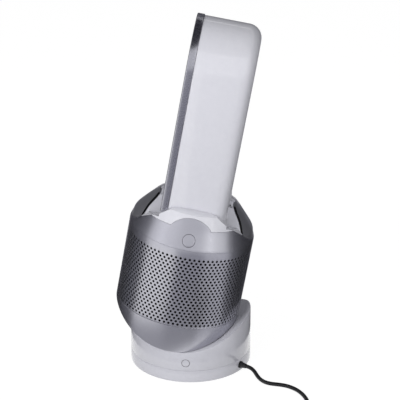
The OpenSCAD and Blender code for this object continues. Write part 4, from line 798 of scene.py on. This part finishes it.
# %% Neck
GUTTER_Z, GUTTER_START, GUTTER_SLOPE, GUTTER_T = 282, 57.8, math.tan(math.radians(15)), 3
ABOVE = 400
UNDER_INSET, UNDER_FOOT, UNDER_LAP = 2.9, 275, 2
FLUSH_FOOT, FLUSH_FRONT, FLUSH_REAR, FLUSH_SHORT = 286, 57.8, 55.9, 2.5
ROOF_GROW = -0.4
GUTTER_X = ROOF_PEAK - GUTTER_Z
gutter_rise = GUTTER_Z + (DRUM - GUTTER_X) * GUTTER_SLOPE
gutter_air = [(-GUTTER_X, GUTTER_Z), (GUTTER_X, GUTTER_Z), (DRUM, gutter_rise), (DRUM, ABOVE),
              (-DRUM, ABOVE), (-DRUM, gutter_rise)]
gutter_slab = [(-DRUM, gutter_rise - GUTTER_T), (-GUTTER_X, GUTTER_Z - GUTTER_T),
               (GUTTER_X, GUTTER_Z - GUTTER_T), (DRUM, gutter_rise - GUTTER_T),
               (DRUM, gutter_rise), (GUTTER_X, GUTTER_Z), (-GUTTER_X, GUTTER_Z), (-DRUM, gutter_rise)]
cone_profile = sized(CONE, 2.5)
cone_solid = [(0, cone_profile[0][1])] + cone_profile + [(0, cone_profile[-1][1])]
neck_bm = merged("neck")
bmesh.ops.transform(neck_bm, matrix=LEANING.inverted(), verts=neck_bm.verts)
print("neck volume", round(neck_bm.calc_volume(signed=True) * 1e6, 1), "cm3")
neck_ends = []
for side, flush_start in ((-1, FLUSH_FRONT), (1, FLUSH_REAR)):
    def along(start, end):
        return (start, end) if side > 0 else (-end, -start)
    neck_bm = cut(neck_bm, pushed(gutter_air, "Y", *along(GUTTER_START, WIDE)))
    slab = cut(turned(cone_solid), pushed(gutter_slab, "Y", *along(GUTTER_START, WIDE)), "INTERSECT")
    neck_ends.append(cut(slab, pushed(shoulder_line, "X", -WIDE, WIDE), "INTERSECT"))
    neck_ends.append(cut(dome_solid(UNDER_INSET), pushed(
        roof_line(ROOF_GROW, UNDER_FOOT), "Y", *along(GUTTER_START - UNDER_LAP, WIDE)), "INTERSECT"))
    neck_ends.append(cut(dome_solid(0), pushed(
        roof_line(ROOF_GROW, FLUSH_FOOT), "Y", *along(flush_start, SHIELD_END - FLUSH_SHORT)), "INTERSECT"))
    print("neck volume", round(neck_bm.calc_volume(signed=True) * 1e6, 1), "cm3", len(neck_bm.faces), "faces")
for end in neck_ends:
    print("neck end", round(end.calc_volume(signed=True) * 1e6, 1), "cm3")
    end_mesh = bpy.data.meshes.new("neck_end")
    end.to_mesh(end_mesh)
    neck_bm.from_mesh(end_mesh)
    bpy.data.meshes.remove(end_mesh)
smooth_by_angle(neck_bm, 25)
bmesh.ops.transform(neck_bm, matrix=LEANING, verts=neck_bm.verts)
print(stand_in("glossy_neck", neck_bm, "neck").name, "in place")

# %% [markdown]
# ## Sizes
# The visual model should fill the same box as the imported part.

# %% Sizes
print("sizes written for", len(NODES), "nodes")
